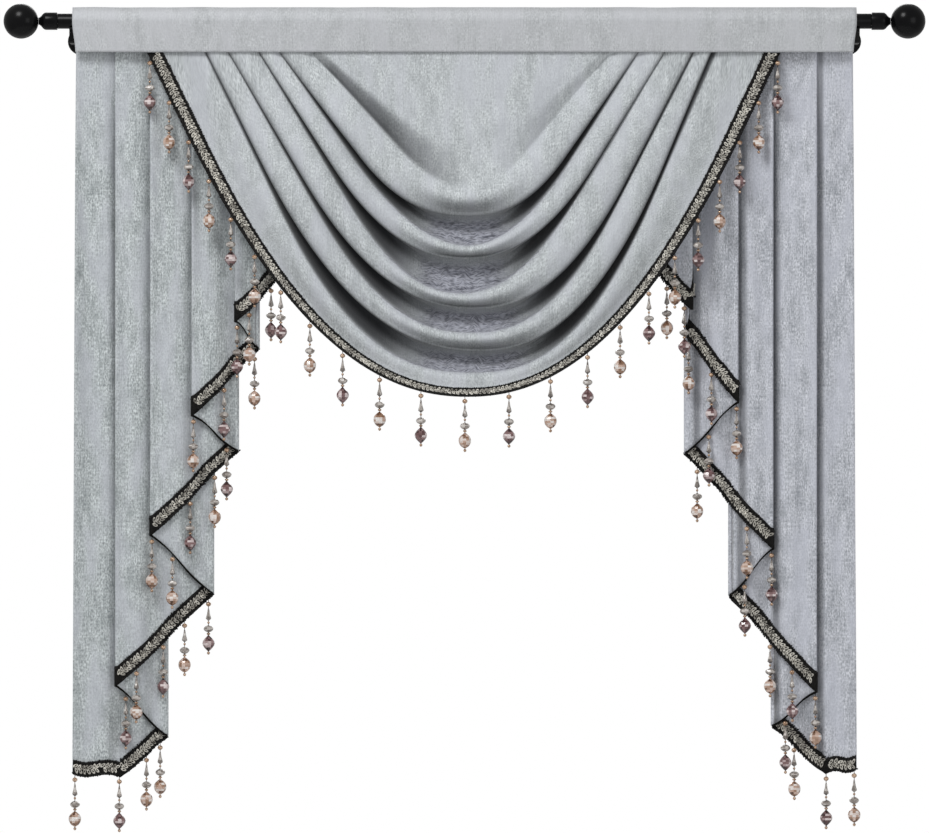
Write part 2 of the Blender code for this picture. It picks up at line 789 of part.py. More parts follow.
def make_swag_trim(material, obstacles, parent):
    uppers, lowers = swag_braid_lines()
    braid, centres = make_braid("swag_trim", uppers, lowers, -1, material, parent)
    line = [lower for _, lower in centres]
    make_trim(braid, spaced_along(line, SWAG_DROPS, SWAG_DROP_MARGIN), obstacles, parent)


def grid_tree(points, rows):
    """A search tree of a sheet's middle surface, whose points are stored row by row."""
    return BVHTree.FromPolygons(points, sheet_faces(rows, len(points) // rows))


def main():
    clear_scene()
    valance = bpy.data.objects.new("valance", None)
    bpy.context.scene.collection.objects.link(valance)
    valance.location = (BRACKET_X * MM, -WALL_Y * MM, PLATE_DROP * MM)

    steel = make_material("black steel", (0.012, 0.012, 0.013), 0.28, 0.4)
    cloth = make_material("grey chenille", (0.44, 0.48, 0.51), 0.8)
    trim = make_material("black and silver braid", (0.06, 0.055, 0.05), 0.6)

    make_rod(steel, valance)
    for side in (-1, 1):
        make_finial(side, steel, valance)
        make_bracket(side, steel, valance)
    make_pocket(cloth, valance)

    swag_points, swag_rows = make_swag(cloth, valance)
    sheets = [(grid_tree(swag_points, swag_rows), CLOTH / 2)]
    braids = []
    for label, table in (("left", LEFT_TAIL), ("right", RIGHT_TAIL)):
        points, columns, uppers, lowers = make_tail(label, table, cloth, valance)
        sheets.append((grid_tree(points, len(points) // len(columns)), CLOTH / 2))
        facing = -1 if label == "left" else 1
        braid, centres = make_braid(f"tail_{label}_trim", uppers, lowers, facing, trim, valance)
        strip = [pair[row] for row in (0, 1) for pair in centres]
        sheets.append((grid_tree(strip, 2), BRAID_THICK / 2))
        braids.append((braid, tail_roots(table, columns, centres)))
    for braid, roots in braids:
        make_trim(braid, roots, sheets, valance)
    make_swag_trim(trim, sheets, valance)


main()
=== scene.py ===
# %% [markdown]
# # A swag valance on its curtain rod
# The valance is one rod pocket with three cloths sewn into it: a swag that hangs in rolls, and two tails
# that are pleated to and fro. Their hems carry a woven braid with strings of beads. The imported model
# holds every piece at its real size, and this script gives each of them its finish: fine folds, weave,
# stitches, cut beads and painted steel.

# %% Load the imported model
import bisect
import math
import random
from collections import namedtuple

import bmesh
import bpy
import numpy as np
from mathutils import Matrix, Vector, noise
from mathutils.bvhtree import BVHTree


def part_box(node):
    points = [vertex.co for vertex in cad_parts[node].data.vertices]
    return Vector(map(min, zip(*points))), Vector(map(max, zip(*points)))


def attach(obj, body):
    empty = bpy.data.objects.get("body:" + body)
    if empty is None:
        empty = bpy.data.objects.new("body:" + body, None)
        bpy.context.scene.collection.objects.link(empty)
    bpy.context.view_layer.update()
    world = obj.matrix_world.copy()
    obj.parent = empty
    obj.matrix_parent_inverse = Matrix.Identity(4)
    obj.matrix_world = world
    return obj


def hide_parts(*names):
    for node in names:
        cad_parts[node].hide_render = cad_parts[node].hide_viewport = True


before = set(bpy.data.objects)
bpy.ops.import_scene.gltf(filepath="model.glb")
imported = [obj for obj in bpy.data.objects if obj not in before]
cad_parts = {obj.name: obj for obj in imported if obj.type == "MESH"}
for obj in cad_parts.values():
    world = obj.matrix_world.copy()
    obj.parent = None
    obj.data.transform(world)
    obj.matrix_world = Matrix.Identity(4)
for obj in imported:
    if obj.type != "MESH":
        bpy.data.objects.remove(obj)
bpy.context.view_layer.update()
MM = 0.001
RODS_MIDDLE = (Vector(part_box("rod")[0]) + Vector(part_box("rod")[1])) / 2
print("nodes:", ", ".join(sorted(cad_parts)))

# %% [markdown]
# ## Camera
# The valance was photographed from straight ahead with a long lens, so nothing in it looks
# foreshortened. A camera far away with a narrow view does the same. Its distance is chosen first, and
# the lens follows from the width that the picture has to take in.

# %% Camera straight in front
VIEW_WIDTH = 1.1835
VIEW_DISTANCE = 12.0
VIEW_MIDDLE = Vector((0.4915, -0.09, -0.4813))

camera = bpy.data.objects.new("camera", bpy.data.cameras.new("camera"))
bpy.context.scene.collection.objects.link(camera)
camera.location = VIEW_MIDDLE - Vector((0, VIEW_DISTANCE, 0))
camera.rotation_euler = (math.radians(90), 0, 0)
camera.data.lens = camera.data.sensor_width * VIEW_DISTANCE / VIEW_WIDTH
bpy.context.scene.camera = camera
print(f"lens {camera.data.lens:.0f} mm")

# %% [markdown]
# ## Light and floor
# The light is a bright white studio. A large soft lamp high up on the left shapes the rolls: it lights
# their upper side and leaves the grooves dark. A weak one on the right keeps their other side open, and
# the white world fills the rest. Seen by the camera itself, the world is plain white. Standard colours
# keep white white.

# %% Lamps, world and floor
LAMPS = (
    ("key_lamp", (-0.7, -2.1, 2.2), 1.2, 62.0),
    ("side_lamp", (2.6, -2.6, 0.2), 1.6, 12.0),
    ("back_lamp", (0.5, 2.6, 0.9), 1.8, 25.0),
)
WORLD_STRENGTH = 0.42
FLOOR_Z = -1.2
FLOOR_RADIUS = 1.7


def add_lamp(name, place, size, power):
    lamp = bpy.data.objects.new(name, bpy.data.lights.new(name, "AREA"))
    bpy.context.scene.collection.objects.link(lamp)
    lamp.location = place
    lamp.rotation_euler = (VIEW_MIDDLE - Vector(place)).to_track_quat("-Z", "Y").to_euler()
    lamp.data.size = size
    lamp.data.energy = power


for lamp_values in LAMPS:
    add_lamp(*lamp_values)

world = bpy.data.worlds.new("studio")
world.use_nodes = True
background = world.node_tree.nodes["Background"]
background.inputs["Color"].default_value = (1, 1, 1, 1)
background.inputs["Strength"].default_value = WORLD_STRENGTH
seen = world.node_tree.nodes.new("ShaderNodeBackground")
seen.inputs["Color"].default_value = (1, 1, 1, 1)
seen.inputs["Strength"].default_value = 1.0
light_path = world.node_tree.nodes.new("ShaderNodeLightPath")
either = world.node_tree.nodes.new("ShaderNodeMixShader")
world.node_tree.links.new(light_path.outputs["Is Camera Ray"], either.inputs[0])
world.node_tree.links.new(background.outputs[0], either.inputs[1])
world.node_tree.links.new(seen.outputs[0], either.inputs[2])
world.node_tree.links.new(either.outputs[0], world.node_tree.nodes["World Output"].inputs[0])
bpy.context.scene.world = world
bpy.context.scene.view_settings.view_transform = "Standard"

# %% [markdown]
# ## Small helpers
# Operators act on everything that is selected, so each piece starts by selecting nothing. A finished
# piece lies at the origin with its place in its mesh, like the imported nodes, so that patterns stay where
# they belong.

# %% Helpers for selecting, settling and smoothing
def only(piece):
    """Selects this piece alone and makes it the active one."""
    bpy.ops.object.select_all(action="DESELECT")
    piece.select_set(True)
    bpy.context.view_layer.objects.active = piece
    return piece


def named(name):
    """Names the primitive that was just added, and its mesh."""
    piece = bpy.context.object
    piece.name = piece.data.name = name
    return piece


def settle(piece):
    only(piece)
    bpy.ops.object.transform_apply(location=True, rotation=True, scale=True)
    return piece


def apply_modifiers(piece):
    only(piece)
    for modifier in list(piece.modifiers):
        bpy.ops.object.modifier_apply(modifier=modifier.name)
    return piece


def smooth(piece, degrees=35.0):
    only(piece)
    bpy.ops.object.shade_smooth_by_angle(angle=math.radians(degrees))
    return piece


def pick_faces(piece, wanted):
    """Selects, in edit mode, the faces whose middle passes the test."""
    form = bmesh.from_edit_mesh(piece.data)
    for face in form.faces:
        face.select_set(bool(wanted(face.calc_center_median())))
    bmesh.update_edit_mesh(piece.data)


bpy.ops.object.select_all(action="DESELECT")
bpy.ops.mesh.primitive_circle_add(
    vertices=96, radius=FLOOR_RADIUS, fill_type="NGON", location=(VIEW_MIDDLE.x, 0, FLOOR_Z)
)
floor = settle(named("floor"))

# %% [markdown]
# ## Shader helpers
# A material here is a short list of nodes. One function adds a node and fills or links its inputs, and
# others do bumps, sums and mixed colours, so each finish below reads almost like a sentence.

# %% Helpers for nodes
def put(tree, kind, **settings):
    """Adds a shader node. A capitalised setting is an input, given as a value or as an output to link."""
    node = tree.nodes.new("ShaderNode" + kind)
    for name, value in settings.items():
        if name[0].islower():
            setattr(node, name, value)
    for name, value in settings.items():
        if name[0].isupper():
            fill(tree, node.inputs[name.replace("_", " ")], value)
    return node


def fill(tree, socket, value):
    if isinstance(value, bpy.types.NodeSocket):
        tree.links.new(value, socket)
    else:
        socket.default_value = value


def dress(tree, shader, **values):
    """Fills or links the inputs of a shader, named with _ for each space."""
    for name, value in values.items():
        fill(tree, shader[name.replace("_", " ")], value)


def bumps(tree, height, distance, strength, **below):
    return put(tree, "Bump", Height=height, Distance=distance, Strength=strength, **below).outputs[0]


def sums(tree, operation, *values):
    node = tree.nodes.new("ShaderNodeMath")
    node.operation = operation
    for socket, value in zip(node.inputs, values):
        fill(tree, socket, value)
    return node.outputs[0]


def mixed(tree, factor, a, b, blend_type="MIX"):
    node = put(tree, "Mix", data_type="RGBA", blend_type=blend_type)
    for index, value in ((0, factor), (6, a), (7, b)):
        fill(tree, node.inputs[index], value)
    return node.outputs[2]


def ramp(tree, factor, *stops):
    """A colour ramp. Each stop is a place and a grey level or a colour."""
    node = put(tree, "ValToRGB", Fac=factor)
    elements = node.color_ramp.elements
    while len(elements) < len(stops):
        elements.new(0.5)
    for element, (place, colour) in zip(elements, stops):
        element.position = place
        element.color = (*colour, 1) if isinstance(colour, tuple) else (colour, colour, colour, 1)
    return node.outputs[0]


def new_group(name, inputs, outputs):
    group = bpy.data.node_groups.new(name, "ShaderNodeTree")
    for socket, kind in inputs:
        group.interface.new_socket(socket, in_out="INPUT", socket_type="NodeSocket" + kind)
    for socket, kind in outputs:
        group.interface.new_socket(socket, in_out="OUTPUT", socket_type="NodeSocket" + kind)
    return group, group.nodes.new("NodeGroupInput").outputs, group.nodes.new("NodeGroupOutput").inputs


def use_group(tree, group, **inputs):
    node = tree.nodes.new("ShaderNodeGroup")
    node.node_tree = group
    for name, value in inputs.items():
        fill(tree, node.inputs[name.replace("_", " ")], value)
    return node.outputs


def new_material(name):
    """A material with nodes, and its Principled shader."""
    material = bpy.data.materials.new(name)
    material.use_nodes = True
    return material, material.node_tree, material.node_tree.nodes["Principled BSDF"].inputs


def stretched_noise(tree, place, across, along, detail=3.0):
    """Noise whose spots are this many metres wide and long on a piece's UV map."""
    mapping = put(tree, "Mapping", Vector=place, Scale=(1 / across, 1 / along, 1))
    return put(tree, "TexNoise", Vector=mapping.outputs[0], Scale=1.0, Detail=detail).outputs[0]


# %% [markdown]
# ## Chenille
# The cloth is a soft chenille with a crushed, mottled face. Fine slubs run along it, fainter ones cross
# it, and the crushed pile catches the light in flecks that gather in patches. The group builds these
# from stretched noise on a UV map that is laid out in metres of cloth, so the slubs keep their size and
# follow the folds.

# %% Node group for the chenille
SLUB = (0.0018, 0.030)
CROSS_SLUB = (0.012, 0.0016)
FLECK = (0.0017, 0.0036)
PATCH = (0.011, 0.024)
CLOUD = (0.035, 0.11)
TUFT = (0.0008, 0.0010)
SLUB_SHARE = 0.6
FLECK_WEIGHT = 0.85
BROAD_WEIGHT = 0.6
THREAD_WEIGHT = 0.45


def make_chenille_group():
    group, given, made = new_group(
        "chenille pile",
        (("UV", "Vector"), ("Dark", "Color"), ("Light", "Color"), ("Tint", "Color"), ("Contrast", "Float")),
        (("Color", "Color"), ("Roughness", "Float"), ("Height", "Float")),
    )
    slub, cross, fleck, patch, cloud, tuft = (
        stretched_noise(group, given["UV"], *size) for size in (SLUB, CROSS_SLUB, FLECK, PATCH, CLOUD, TUFT)
    )
    crossing = sums(group, "MULTIPLY", cross, 1 - SLUB_SHARE)
    threads = sums(group, "ADD", sums(group, "MULTIPLY", slub, SLUB_SHARE), crossing)
    gathered = ramp(group, patch, (0.35, 0.45), (0.68, 1.0))
    flecks = sums(group, "MULTIPLY", sums(group, "SUBTRACT", fleck, 0.5), gathered)
    both = sums(group, "MULTIPLY_ADD", patch, 0.4, sums(group, "MULTIPLY", cloud, 0.4))
    broad = sums(group, "MULTIPLY", sums(group, "SUBTRACT", both, 0.4), BROAD_WEIGHT)
    level = sums(group, "ADD", sums(group, "MULTIPLY", flecks, FLECK_WEIGHT), broad)
    centred = sums(group, "MULTIPLY_ADD", threads, THREAD_WEIGHT, -THREAD_WEIGHT / 2)
    face_level = sums(group, "ADD", level, centred)
    spread = sums(group, "MULTIPLY_ADD", face_level, given["Contrast"], 0.5)
    face = mixed(group, spread, given["Dark"], given["Light"])
    tinted = mixed(group, ramp(group, cloud, (0.45, 0.0), (0.62, 0.6)), face, given["Tint"])
    group.links.new(tinted, made["Color"])
    group.links.new(sums(group, "MULTIPLY_ADD", threads, -0.3, 0.95), made["Roughness"])
    relief = sums(group, "ADD", threads, sums(group, "MULTIPLY", tuft, 0.5))
    group.links.new(sums(group, "ADD", relief, sums(group, "MULTIPLY", flecks, 0.6)), made["Height"])
    return group


CHENILLE = make_chenille_group()

# %% [markdown]
# Each cloth gets its own material, because the left tail is a little greener than the right one. Two
# attributes come with a sheet. One is painted shade: deep in the grooves, on the lower faces of the rolls,
# above the first roll, faintly at the sides of the hem and beside the tails' folds. The other, crush, is
# how crumpled the cloth is, and where it is crumpled the creases get painted lavender light and painted
# shade between them.

# %% Cloth materials
PILE_HEIGHT = 0.0006
CREASE_SIZE = (0.0065, 0.0023)
CREASE_HEIGHT = 0.0022
# The colour of painted shade, mixed in by the painted shade attribute.
SHADE = (0.040, 0.042, 0.046, 1)
# Painted light on crumpled creases, and painted shade between them.
LAVENDER_CREASE_LIGHT = (0.43, 0.44, 0.51, 1)
CREASE_SHADE = (0.09, 0.09, 0.12, 1)
CRUSH_SHARE = 0.85


def make_cloth_material(name, dark, light, tint, contrast):
    material, tree, shader = new_material(name)
    uv = put(tree, "UVMap", uv_map="cloth").outputs[0]
    pile = use_group(
        tree, CHENILLE, UV=uv, Dark=(*dark, 1), Light=(*light, 1), Tint=(*tint, 1), Contrast=contrast
    )
    # This attribute is painted shade: it darkens the face toward the shade colour.
    depth = put(tree, "Attribute", attribute_name="pleat").outputs["Fac"]
    crush = put(tree, "Attribute", attribute_name="crush").outputs["Fac"]
    # Where the cloth is crumpled, the creases get painted lavender light and painted shade between them,
    # from the same noise as their bump.
    creases = stretched_noise(tree, uv, *CREASE_SIZE, 4.0)
    painted_creases = mixed(tree, ramp(tree, creases, (0.40, 0.1), (0.57, 1.0)), CREASE_SHADE, LAVENDER_CREASE_LIGHT)
    face = mixed(tree, sums(tree, "MULTIPLY", crush, CRUSH_SHARE), pile["Color"], painted_creases)
    dress(tree, shader, Base_Color=mixed(tree, depth, face, SHADE), Roughness=pile["Roughness"])
    fine = bumps(tree, pile["Height"], PILE_HEIGHT, 0.5)
    crumpled = sums(tree, "MULTIPLY", creases, crush)
    dress(tree, shader, Normal=bumps(tree, crumpled, CREASE_HEIGHT, 0.9, Normal=fine))
    dress(tree, shader, Sheen_Weight=0.25, Sheen_Roughness=0.5, Specular_IOR_Level=0.2)
    return material


swag_cloth, left_cloth, right_cloth, pocket_cloth = (
    make_cloth_material(*values)
    for values in (
        ("swag chenille", (0.37, 0.395, 0.41), (0.72, 0.76, 0.775), (0.55, 0.57, 0.62), 3.4),
        ("left tail chenille", (0.29, 0.32, 0.33), (0.75, 0.80, 0.81), (0.50, 0.52, 0.57), 4.0),
        ("right tail chenille", (0.31, 0.33, 0.365), (0.79, 0.81, 0.87), (0.54, 0.56, 0.63), 3.6),
        ("pocket chenille", (0.40, 0.415, 0.43), (0.65, 0.67, 0.69), (0.54, 0.55, 0.58), 2.8),
    )
)

# %% [markdown]
# ## Painted steel
# The rod, caps, balls and brackets are black painted steel. Paint is never perfectly even: a faint
# orange-peel ripple breaks up the reflections and the roughness drifts a little where it has been
# handled.

# %% Black paint
DARKEST_PAINT = (0.002, 0.002, 0.0025)
LIGHTEST_PAINT = (0.006, 0.006, 0.0065)
PEEL_HEIGHT = 0.00004


def make_paint_group():
    group, given, made = new_group(
        "paint ripple",
        (("Place", "Vector"), ("Ripple", "Float"), ("Roughness", "Float")),
        (("Roughness", "Float"), ("Height", "Float"), ("Color", "Color")),
    )
    ripple = put(group, "TexNoise", Vector=given["Place"], Scale=given["Ripple"], Detail=2.0).outputs[0]
    handled = put(group, "TexNoise", Vector=given["Place"], Scale=38.0, Detail=4.0).outputs[0]
    drift = sums(group, "MULTIPLY_ADD", handled, 0.16, -0.08)
    group.links.new(sums(group, "ADD", given["Roughness"], drift), made["Roughness"])
    group.links.new(ripple, made["Height"])
    group.links.new(ramp(group, handled, (0.3, DARKEST_PAINT), (0.8, LIGHTEST_PAINT)), made["Color"])
    return group


PAINT = make_paint_group()


def make_paint(name, roughness, ripple=900.0):
    material, tree, shader = new_material(name)
    place = put(tree, "TexCoord").outputs["Object"]
    paint = use_group(tree, PAINT, Place=place, Ripple=ripple, Roughness=roughness)
    dress(tree, shader, Base_Color=paint["Color"], Roughness=paint["Roughness"], Specular_IOR_Level=0.14)
    dress(tree, shader, Normal=bumps(tree, paint["Height"], PEEL_HEIGHT, 0.6))
    return material


rod_paint = make_paint("rod paint", 0.30)
ball_paint = make_paint("ball paint", 0.24, 600.0)

# %% [markdown]
# ## Rod
# The rod is a steel tube. A cylinder has the right form from the start, so only its rims need work: a
# bevel takes off the sharp edge, as the paint does on the real tube.

# %% Rod
ROD_RADIUS = 9.75
ROD_HALF = 519.0
GAP = 0.3


def make_rod():
    bpy.ops.object.select_all(action="DESELECT")
    bpy.ops.mesh.primitive_cylinder_add(
        vertices=72,
        radius=ROD_RADIUS * MM,
        depth=2 * ROD_HALF * MM,
        location=RODS_MIDDLE,
        rotation=(0, math.pi / 2, 0),
    )
    finish_metal(rounded_off(settle(named("rod_tube")), 0.5, 3, 30), rod_paint, "rod")


def rounded_off(piece, width, segments, degrees):
    """Rounds each edge that is sharper than an angle. The width is in millimetres."""
    bevel = piece.modifiers.new("rounding", "BEVEL")
    bevel.width = width * MM
    bevel.segments = segments
    bevel.limit_method = "ANGLE"
    bevel.angle_limit = math.radians(degrees)
    return smooth(apply_modifiers(piece))


def finish_metal(piece, paint, node):
    piece.data.materials.clear()
    piece.data.materials.append(paint)
    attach(piece, "root")
    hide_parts(node)
    print(f"{piece.name}: {len(piece.data.polygons)} faces")


make_rod()

# %% [markdown]
# ## End caps and balls
# Each end cap is a collar that closes the tube and narrows to a neck. It is extruded ring by ring from a
# cylinder, each ring moved outwards and then scaled about the rod's axis. The ball is a fine sphere cut
# flat where it sits on the neck.

# %% End caps
Ring = namedtuple("Ring", "along radius")
CAP_RINGS = (
    Ring(GAP, 11.3),
    Ring(14.5, 11.2),
    Ring(16.2, 10.9),
    Ring(18.5, 9.4),
    Ring(21.0, 6.4),
    Ring(23.0, 4.7),
)
BALL_RADIUS = 22.4
BALL_X = 565.6
NECK_RADIUS = 4.6
BALL_START = BALL_X - math.sqrt(BALL_RADIUS**2 - NECK_RADIUS**2)


def make_end_cap(side, label):
    bpy.ops.object.select_all(action="DESELECT")
    first, second = CAP_RINGS[0], CAP_RINGS[1]
    middle = side * (ROD_HALF + (first.along + second.along) / 2)
    bpy.ops.mesh.primitive_cylinder_add(
        vertices=64,
        radius=second.radius * MM,
        depth=(second.along - first.along) * MM,
        location=RODS_MIDDLE + Vector((middle * MM, 0, 0)),
        rotation=(0, math.pi / 2, 0),
    )
    cap = settle(named(f"end_collar_{label}"))
    end_x = RODS_MIDDLE.x + side * (ROD_HALF + second.along) * MM
    bpy.ops.object.mode_set(mode="EDIT")
    bpy.ops.mesh.select_mode(type="FACE")
    pick_faces(cap, lambda place: abs(place.x - end_x) < 0.1 * MM)
    rings = CAP_RINGS[1:] + (Ring(BALL_START - GAP - ROD_HALF, CAP_RINGS[-1].radius),)
    for before, ring in zip(rings, rings[1:]):
        shift = side * (ring.along - before.along) * MM
        bpy.ops.mesh.extrude_region_move(TRANSFORM_OT_translate={"value": (shift, 0, 0)})
        scale = ring.radius / before.radius
        centre = RODS_MIDDLE + Vector((side * (ROD_HALF + ring.along) * MM, 0, 0))
        bpy.ops.transform.resize(value=(1, scale, scale), center_override=centre)
    bpy.ops.object.mode_set(mode="OBJECT")
    finish_metal(rounded_off(cap, 0.4, 2, 50), rod_paint, f"end_cap_{label}")


# %% Balls
def make_ball(side, label):
    bpy.ops.object.select_all(action="DESELECT")
    centre = RODS_MIDDLE + Vector((side * BALL_X * MM, 0, 0))
    bpy.ops.mesh.primitive_uv_sphere_add(
        segments=64, ring_count=40, radius=BALL_RADIUS * MM, location=centre, rotation=(0, math.pi / 2, 0)
    )
    ball = settle(named(f"ball_{label}"))
    bpy.ops.object.mode_set(mode="EDIT")
    bpy.ops.mesh.select_all(action="SELECT")
    foot = RODS_MIDDLE + Vector((side * BALL_START * MM, 0, 0))
    bpy.ops.mesh.bisect(plane_co=foot, plane_no=(-side, 0, 0), use_fill=True, clear_outer=True)
    bpy.ops.object.mode_set(mode="OBJECT")
    finish_metal(smooth(ball), ball_paint, f"ball_finial_{label}")


for side, label in ((-1, "left"), (1, "right")):
    make_end_cap(side, label)
    make_ball(side, label)

# %% [markdown]
# ## Brackets
# A bracket is pressed from thick strap, so its edges are rounded all over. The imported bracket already
# has the right form. A copy of it is merged into clean faces, and a bevel then rounds the edges.

# %% Brackets
def make_bracket(label):
    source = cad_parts[f"bracket_{label}"]
    bracket = bpy.data.objects.new(f"wall_bracket_{label}", source.data.copy())
    bpy.context.scene.collection.objects.link(bracket)
    only(bracket)
    bpy.ops.object.mode_set(mode="EDIT")
    bpy.ops.mesh.select_all(action="SELECT")
    bpy.ops.mesh.remove_doubles(threshold=0.001 * MM)
    bpy.ops.mesh.dissolve_limited(angle_limit=math.radians(2))
    bpy.ops.object.mode_set(mode="OBJECT")
    finish_metal(rounded_off(bracket, 0.5, 2, 40), rod_paint, f"bracket_{label}")


for label in ("left", "right"):
    make_bracket(label)

# %% [markdown]
# ## Sheets of cloth
# Every cloth here is a grid of points: rows run along the rod, columns run down. One function turns a
# grid into a sheet. It lays a UV map out in metres of cloth, keeps the painted shade and the creases as
# attributes, and Solidify gives the sheet its thickness.

# %% From a grid of points to a sheet
CLOTH = 1.2


def grid_quads(rows, columns):
    first = np.arange(rows * columns).reshape(rows, columns)
    corners = (first[:-1, :-1], first[:-1, 1:], first[1:, 1:], first[1:, :-1])
    return np.stack(corners, axis=-1).reshape(-1, 4)


def distances_along(points, axis):
    """Distances from the first point, along one axis of a grid."""
    steps = np.linalg.norm(np.diff(points, axis=axis), axis=2)
    return np.insert(np.cumsum(steps, axis=axis), 0, 0.0, axis=axis)


def sheet_piece(name, grid, material, thickness, quads=None, upright=False, **marks):
    """A sheet from a grid of points in millimetres about the rod's middle, shaped rows x columns x 3.

    The marks are numbers for every point, such as the painted shade of grooves and folds. An upright sheet
    has its threads upright, as seen from the front, and any other one has them along its columns.
    """
    rows, columns = grid.shape[:2]
    quads = grid_quads(rows, columns) if quads is None else quads
    mesh = bpy.data.meshes.new(name)
    mesh.from_pydata(grid.reshape(-1, 3) * MM + np.array(RODS_MIDDLE), [], quads.tolist())
    along_middle = np.broadcast_to(distances_along(grid, 1)[rows // 2], (rows, columns))
    across = grid[..., 0] if upright else along_middle
    places = np.stack((across, -distances_along(grid, 0)), axis=-1).reshape(-1, 2) * MM
    uv = mesh.uv_layers.new(name="cloth")
    corners = np.empty(len(mesh.loops), np.int32)
    mesh.loops.foreach_get("vertex_index", corners)
    uv.data.foreach_set("uv", places[corners].ravel())
    for mark in ("pleat", "crush"):
        values = np.clip(marks.get(mark, np.zeros((rows, columns))), 0, 1)
        mesh.attributes.new(mark, "FLOAT", "POINT").data.foreach_set("value", values.ravel())
    mesh.materials.append(material)
    piece = bpy.data.objects.new(name, mesh)
    bpy.context.scene.collection.objects.link(piece)
    wall = piece.modifiers.new("thickness", "SOLIDIFY")
    wall.thickness = thickness * MM
    wall.offset = 0.0
    only(piece)
    bpy.ops.object.shade_smooth()
    apply_modifiers(piece)
    print(f"{name}: {rows} rows, {columns} columns, {len(piece.data.polygons)} faces")
    return piece


def blend(a, b, t):
    return a + (b - a) * t


def smooth_step(t):
    t = min(1.0, max(0.0, t))
    return t * t * (3 - 2 * t)


def ripple(x, z, width, height, seed=0.0):
    """Soft unevenness between about -1 and 1, whose swells are this wide and high."""
    return 2 * noise.noise(Vector((x / width, z / height, seed)))


# %% [markdown]
# ## Rod pocket
# The pocket is a band of the same cloth, folded over the rod and sewn shut under it. In section it
# leaves the seam, touches round the rod and stands up in a small ridge above it, so the section is
# worked out from tangents to the rod. Its face is nearly flat, with a slight swell from place to place.
# At each end its back is notched, so that the bracket's arm can pass to the wall.

# %% Section of the pocket
HALF_WIDTH = 500.0
SEAM_Z = -39.9
POCKET_THICK = 2.0
POCKET_ROOM = 0.6
RIDGE_Z = 15.3
RIDGE_LIFT = 0.5
SEAM_LEAN = 0.008
FRONT_FOOT_Y = -7.9
BACK_FOOT_Y = 11.3
MIDDLE_BACK_Y = -4.6
ARC_STEPS = 16
SIDE_STEPS = 14
POCKET_STATIONS = 221
POCKET_SHARES = ((120.0, 1.0), (150.0, 0.6), (212.0, 0.0))
NOTCH_X = 476.0
NOTCH_Y = 6.0
NOTCH_TOP = 3.0
FACE_SWELL = (70, 1, 3.0)
FACE_SWELL_DEPTH = 0.5
FACE_SWELL_REACH = 12
RIDGE_SWELL = (45, 400, 5.0)
RIDGE_SWELL_DEPTH = 0.25
POCKET_CLEARANCE = 0.2


def wrapped_side(foot_y, radius, ridge):
    """One side of the fold: from the foot at the seam, round the rod and up to the ridge."""
    reach = math.hypot(foot_y, SEAM_Z)
    leaving = math.atan2(foot_y, SEAM_Z) % (2 * math.pi) - math.acos(radius / reach)
    meeting = math.acos(radius / ridge)
    arc = []
    for i in range(ARC_STEPS + 1):
        angle = blend(leaving, meeting, i / ARC_STEPS)
        arc.append((radius * math.sin(angle), radius * math.cos(angle)))
    foot = (foot_y, SEAM_Z)
    side = [tuple(blend(a, b, i / SIDE_STEPS) for a, b in zip(foot, arc[0])) for i in range(SIDE_STEPS)]
    return side + arc


def pocket_section(middle_share):
    half = POCKET_THICK / 2
    radius = ROD_RADIUS + POCKET_ROOM + half
    back_foot = blend(BACK_FOOT_Y, MIDDLE_BACK_Y, middle_share) + half
    front = [(-y, z) for y, z in wrapped_side(half - FRONT_FOOT_Y, radius, RIDGE_Z + half)]
    back = wrapped_side(back_foot, radius, RIDGE_Z + half)
    return front + [(0.0, RIDGE_Z + half + RIDGE_LIFT)] + back[::-1]


# %% Pocket
def make_pocket():
    xs = np.linspace(-HALF_WIDTH, HALF_WIDTH, POCKET_STATIONS)
    xs = np.sort(np.append(xs, (-NOTCH_X, NOTCH_X)))
    places, shares = zip(*POCKET_SHARES)
    columns = []
    for x in xs:
        section = pocket_section(np.interp(abs(x), places, shares))
        swell = FACE_SWELL_DEPTH * abs(ripple(x, 0, *FACE_SWELL))
        column = []
        for y, z in section:
            fore = swell * smooth_step((z - SEAM_Z) / FACE_SWELL_REACH) if y < 0 else 0.0
            rise = RIDGE_SWELL_DEPTH * ripple(x, y, *RIDGE_SWELL) * smooth_step(z / RIDGE_Z)
            column.append((x * (1 - SEAM_LEAN * smooth_step(z / SEAM_Z)), y - fore, z + rise))
        columns.append(column)
    grid = np.array(columns).transpose(1, 0, 2)
    quads = grid_quads(*grid.shape[:2])
    middles = grid.reshape(-1, 3)[quads].mean(axis=1)
    notched = (abs(middles[:, 0]) > NOTCH_X) & (middles[:, 1] > NOTCH_Y) & (middles[:, 2] < NOTCH_TOP)
    thickness = POCKET_THICK - POCKET_CLEARANCE
    return sheet_piece("pocket_band", grid, pocket_cloth, thickness, quads=quads[~notched])


pocket = make_pocket()

# %% [markdown]
# ## Swag
# A swag is a cloth that hangs between two places on the header in level folds. Each line of the cloth is
# a hanging curve: round at the bottom and straight up to the seam. The tables name those lines, from the
# top roll to the hem: where each starts and ends on the seam, how deep it falls, and how far it stands
# forward. A roll shows between its upper and lower edge, and between two rolls the cloth runs back into
# a groove, which lies in shade and is darkened further with painted shade, as is a roll's lower face.

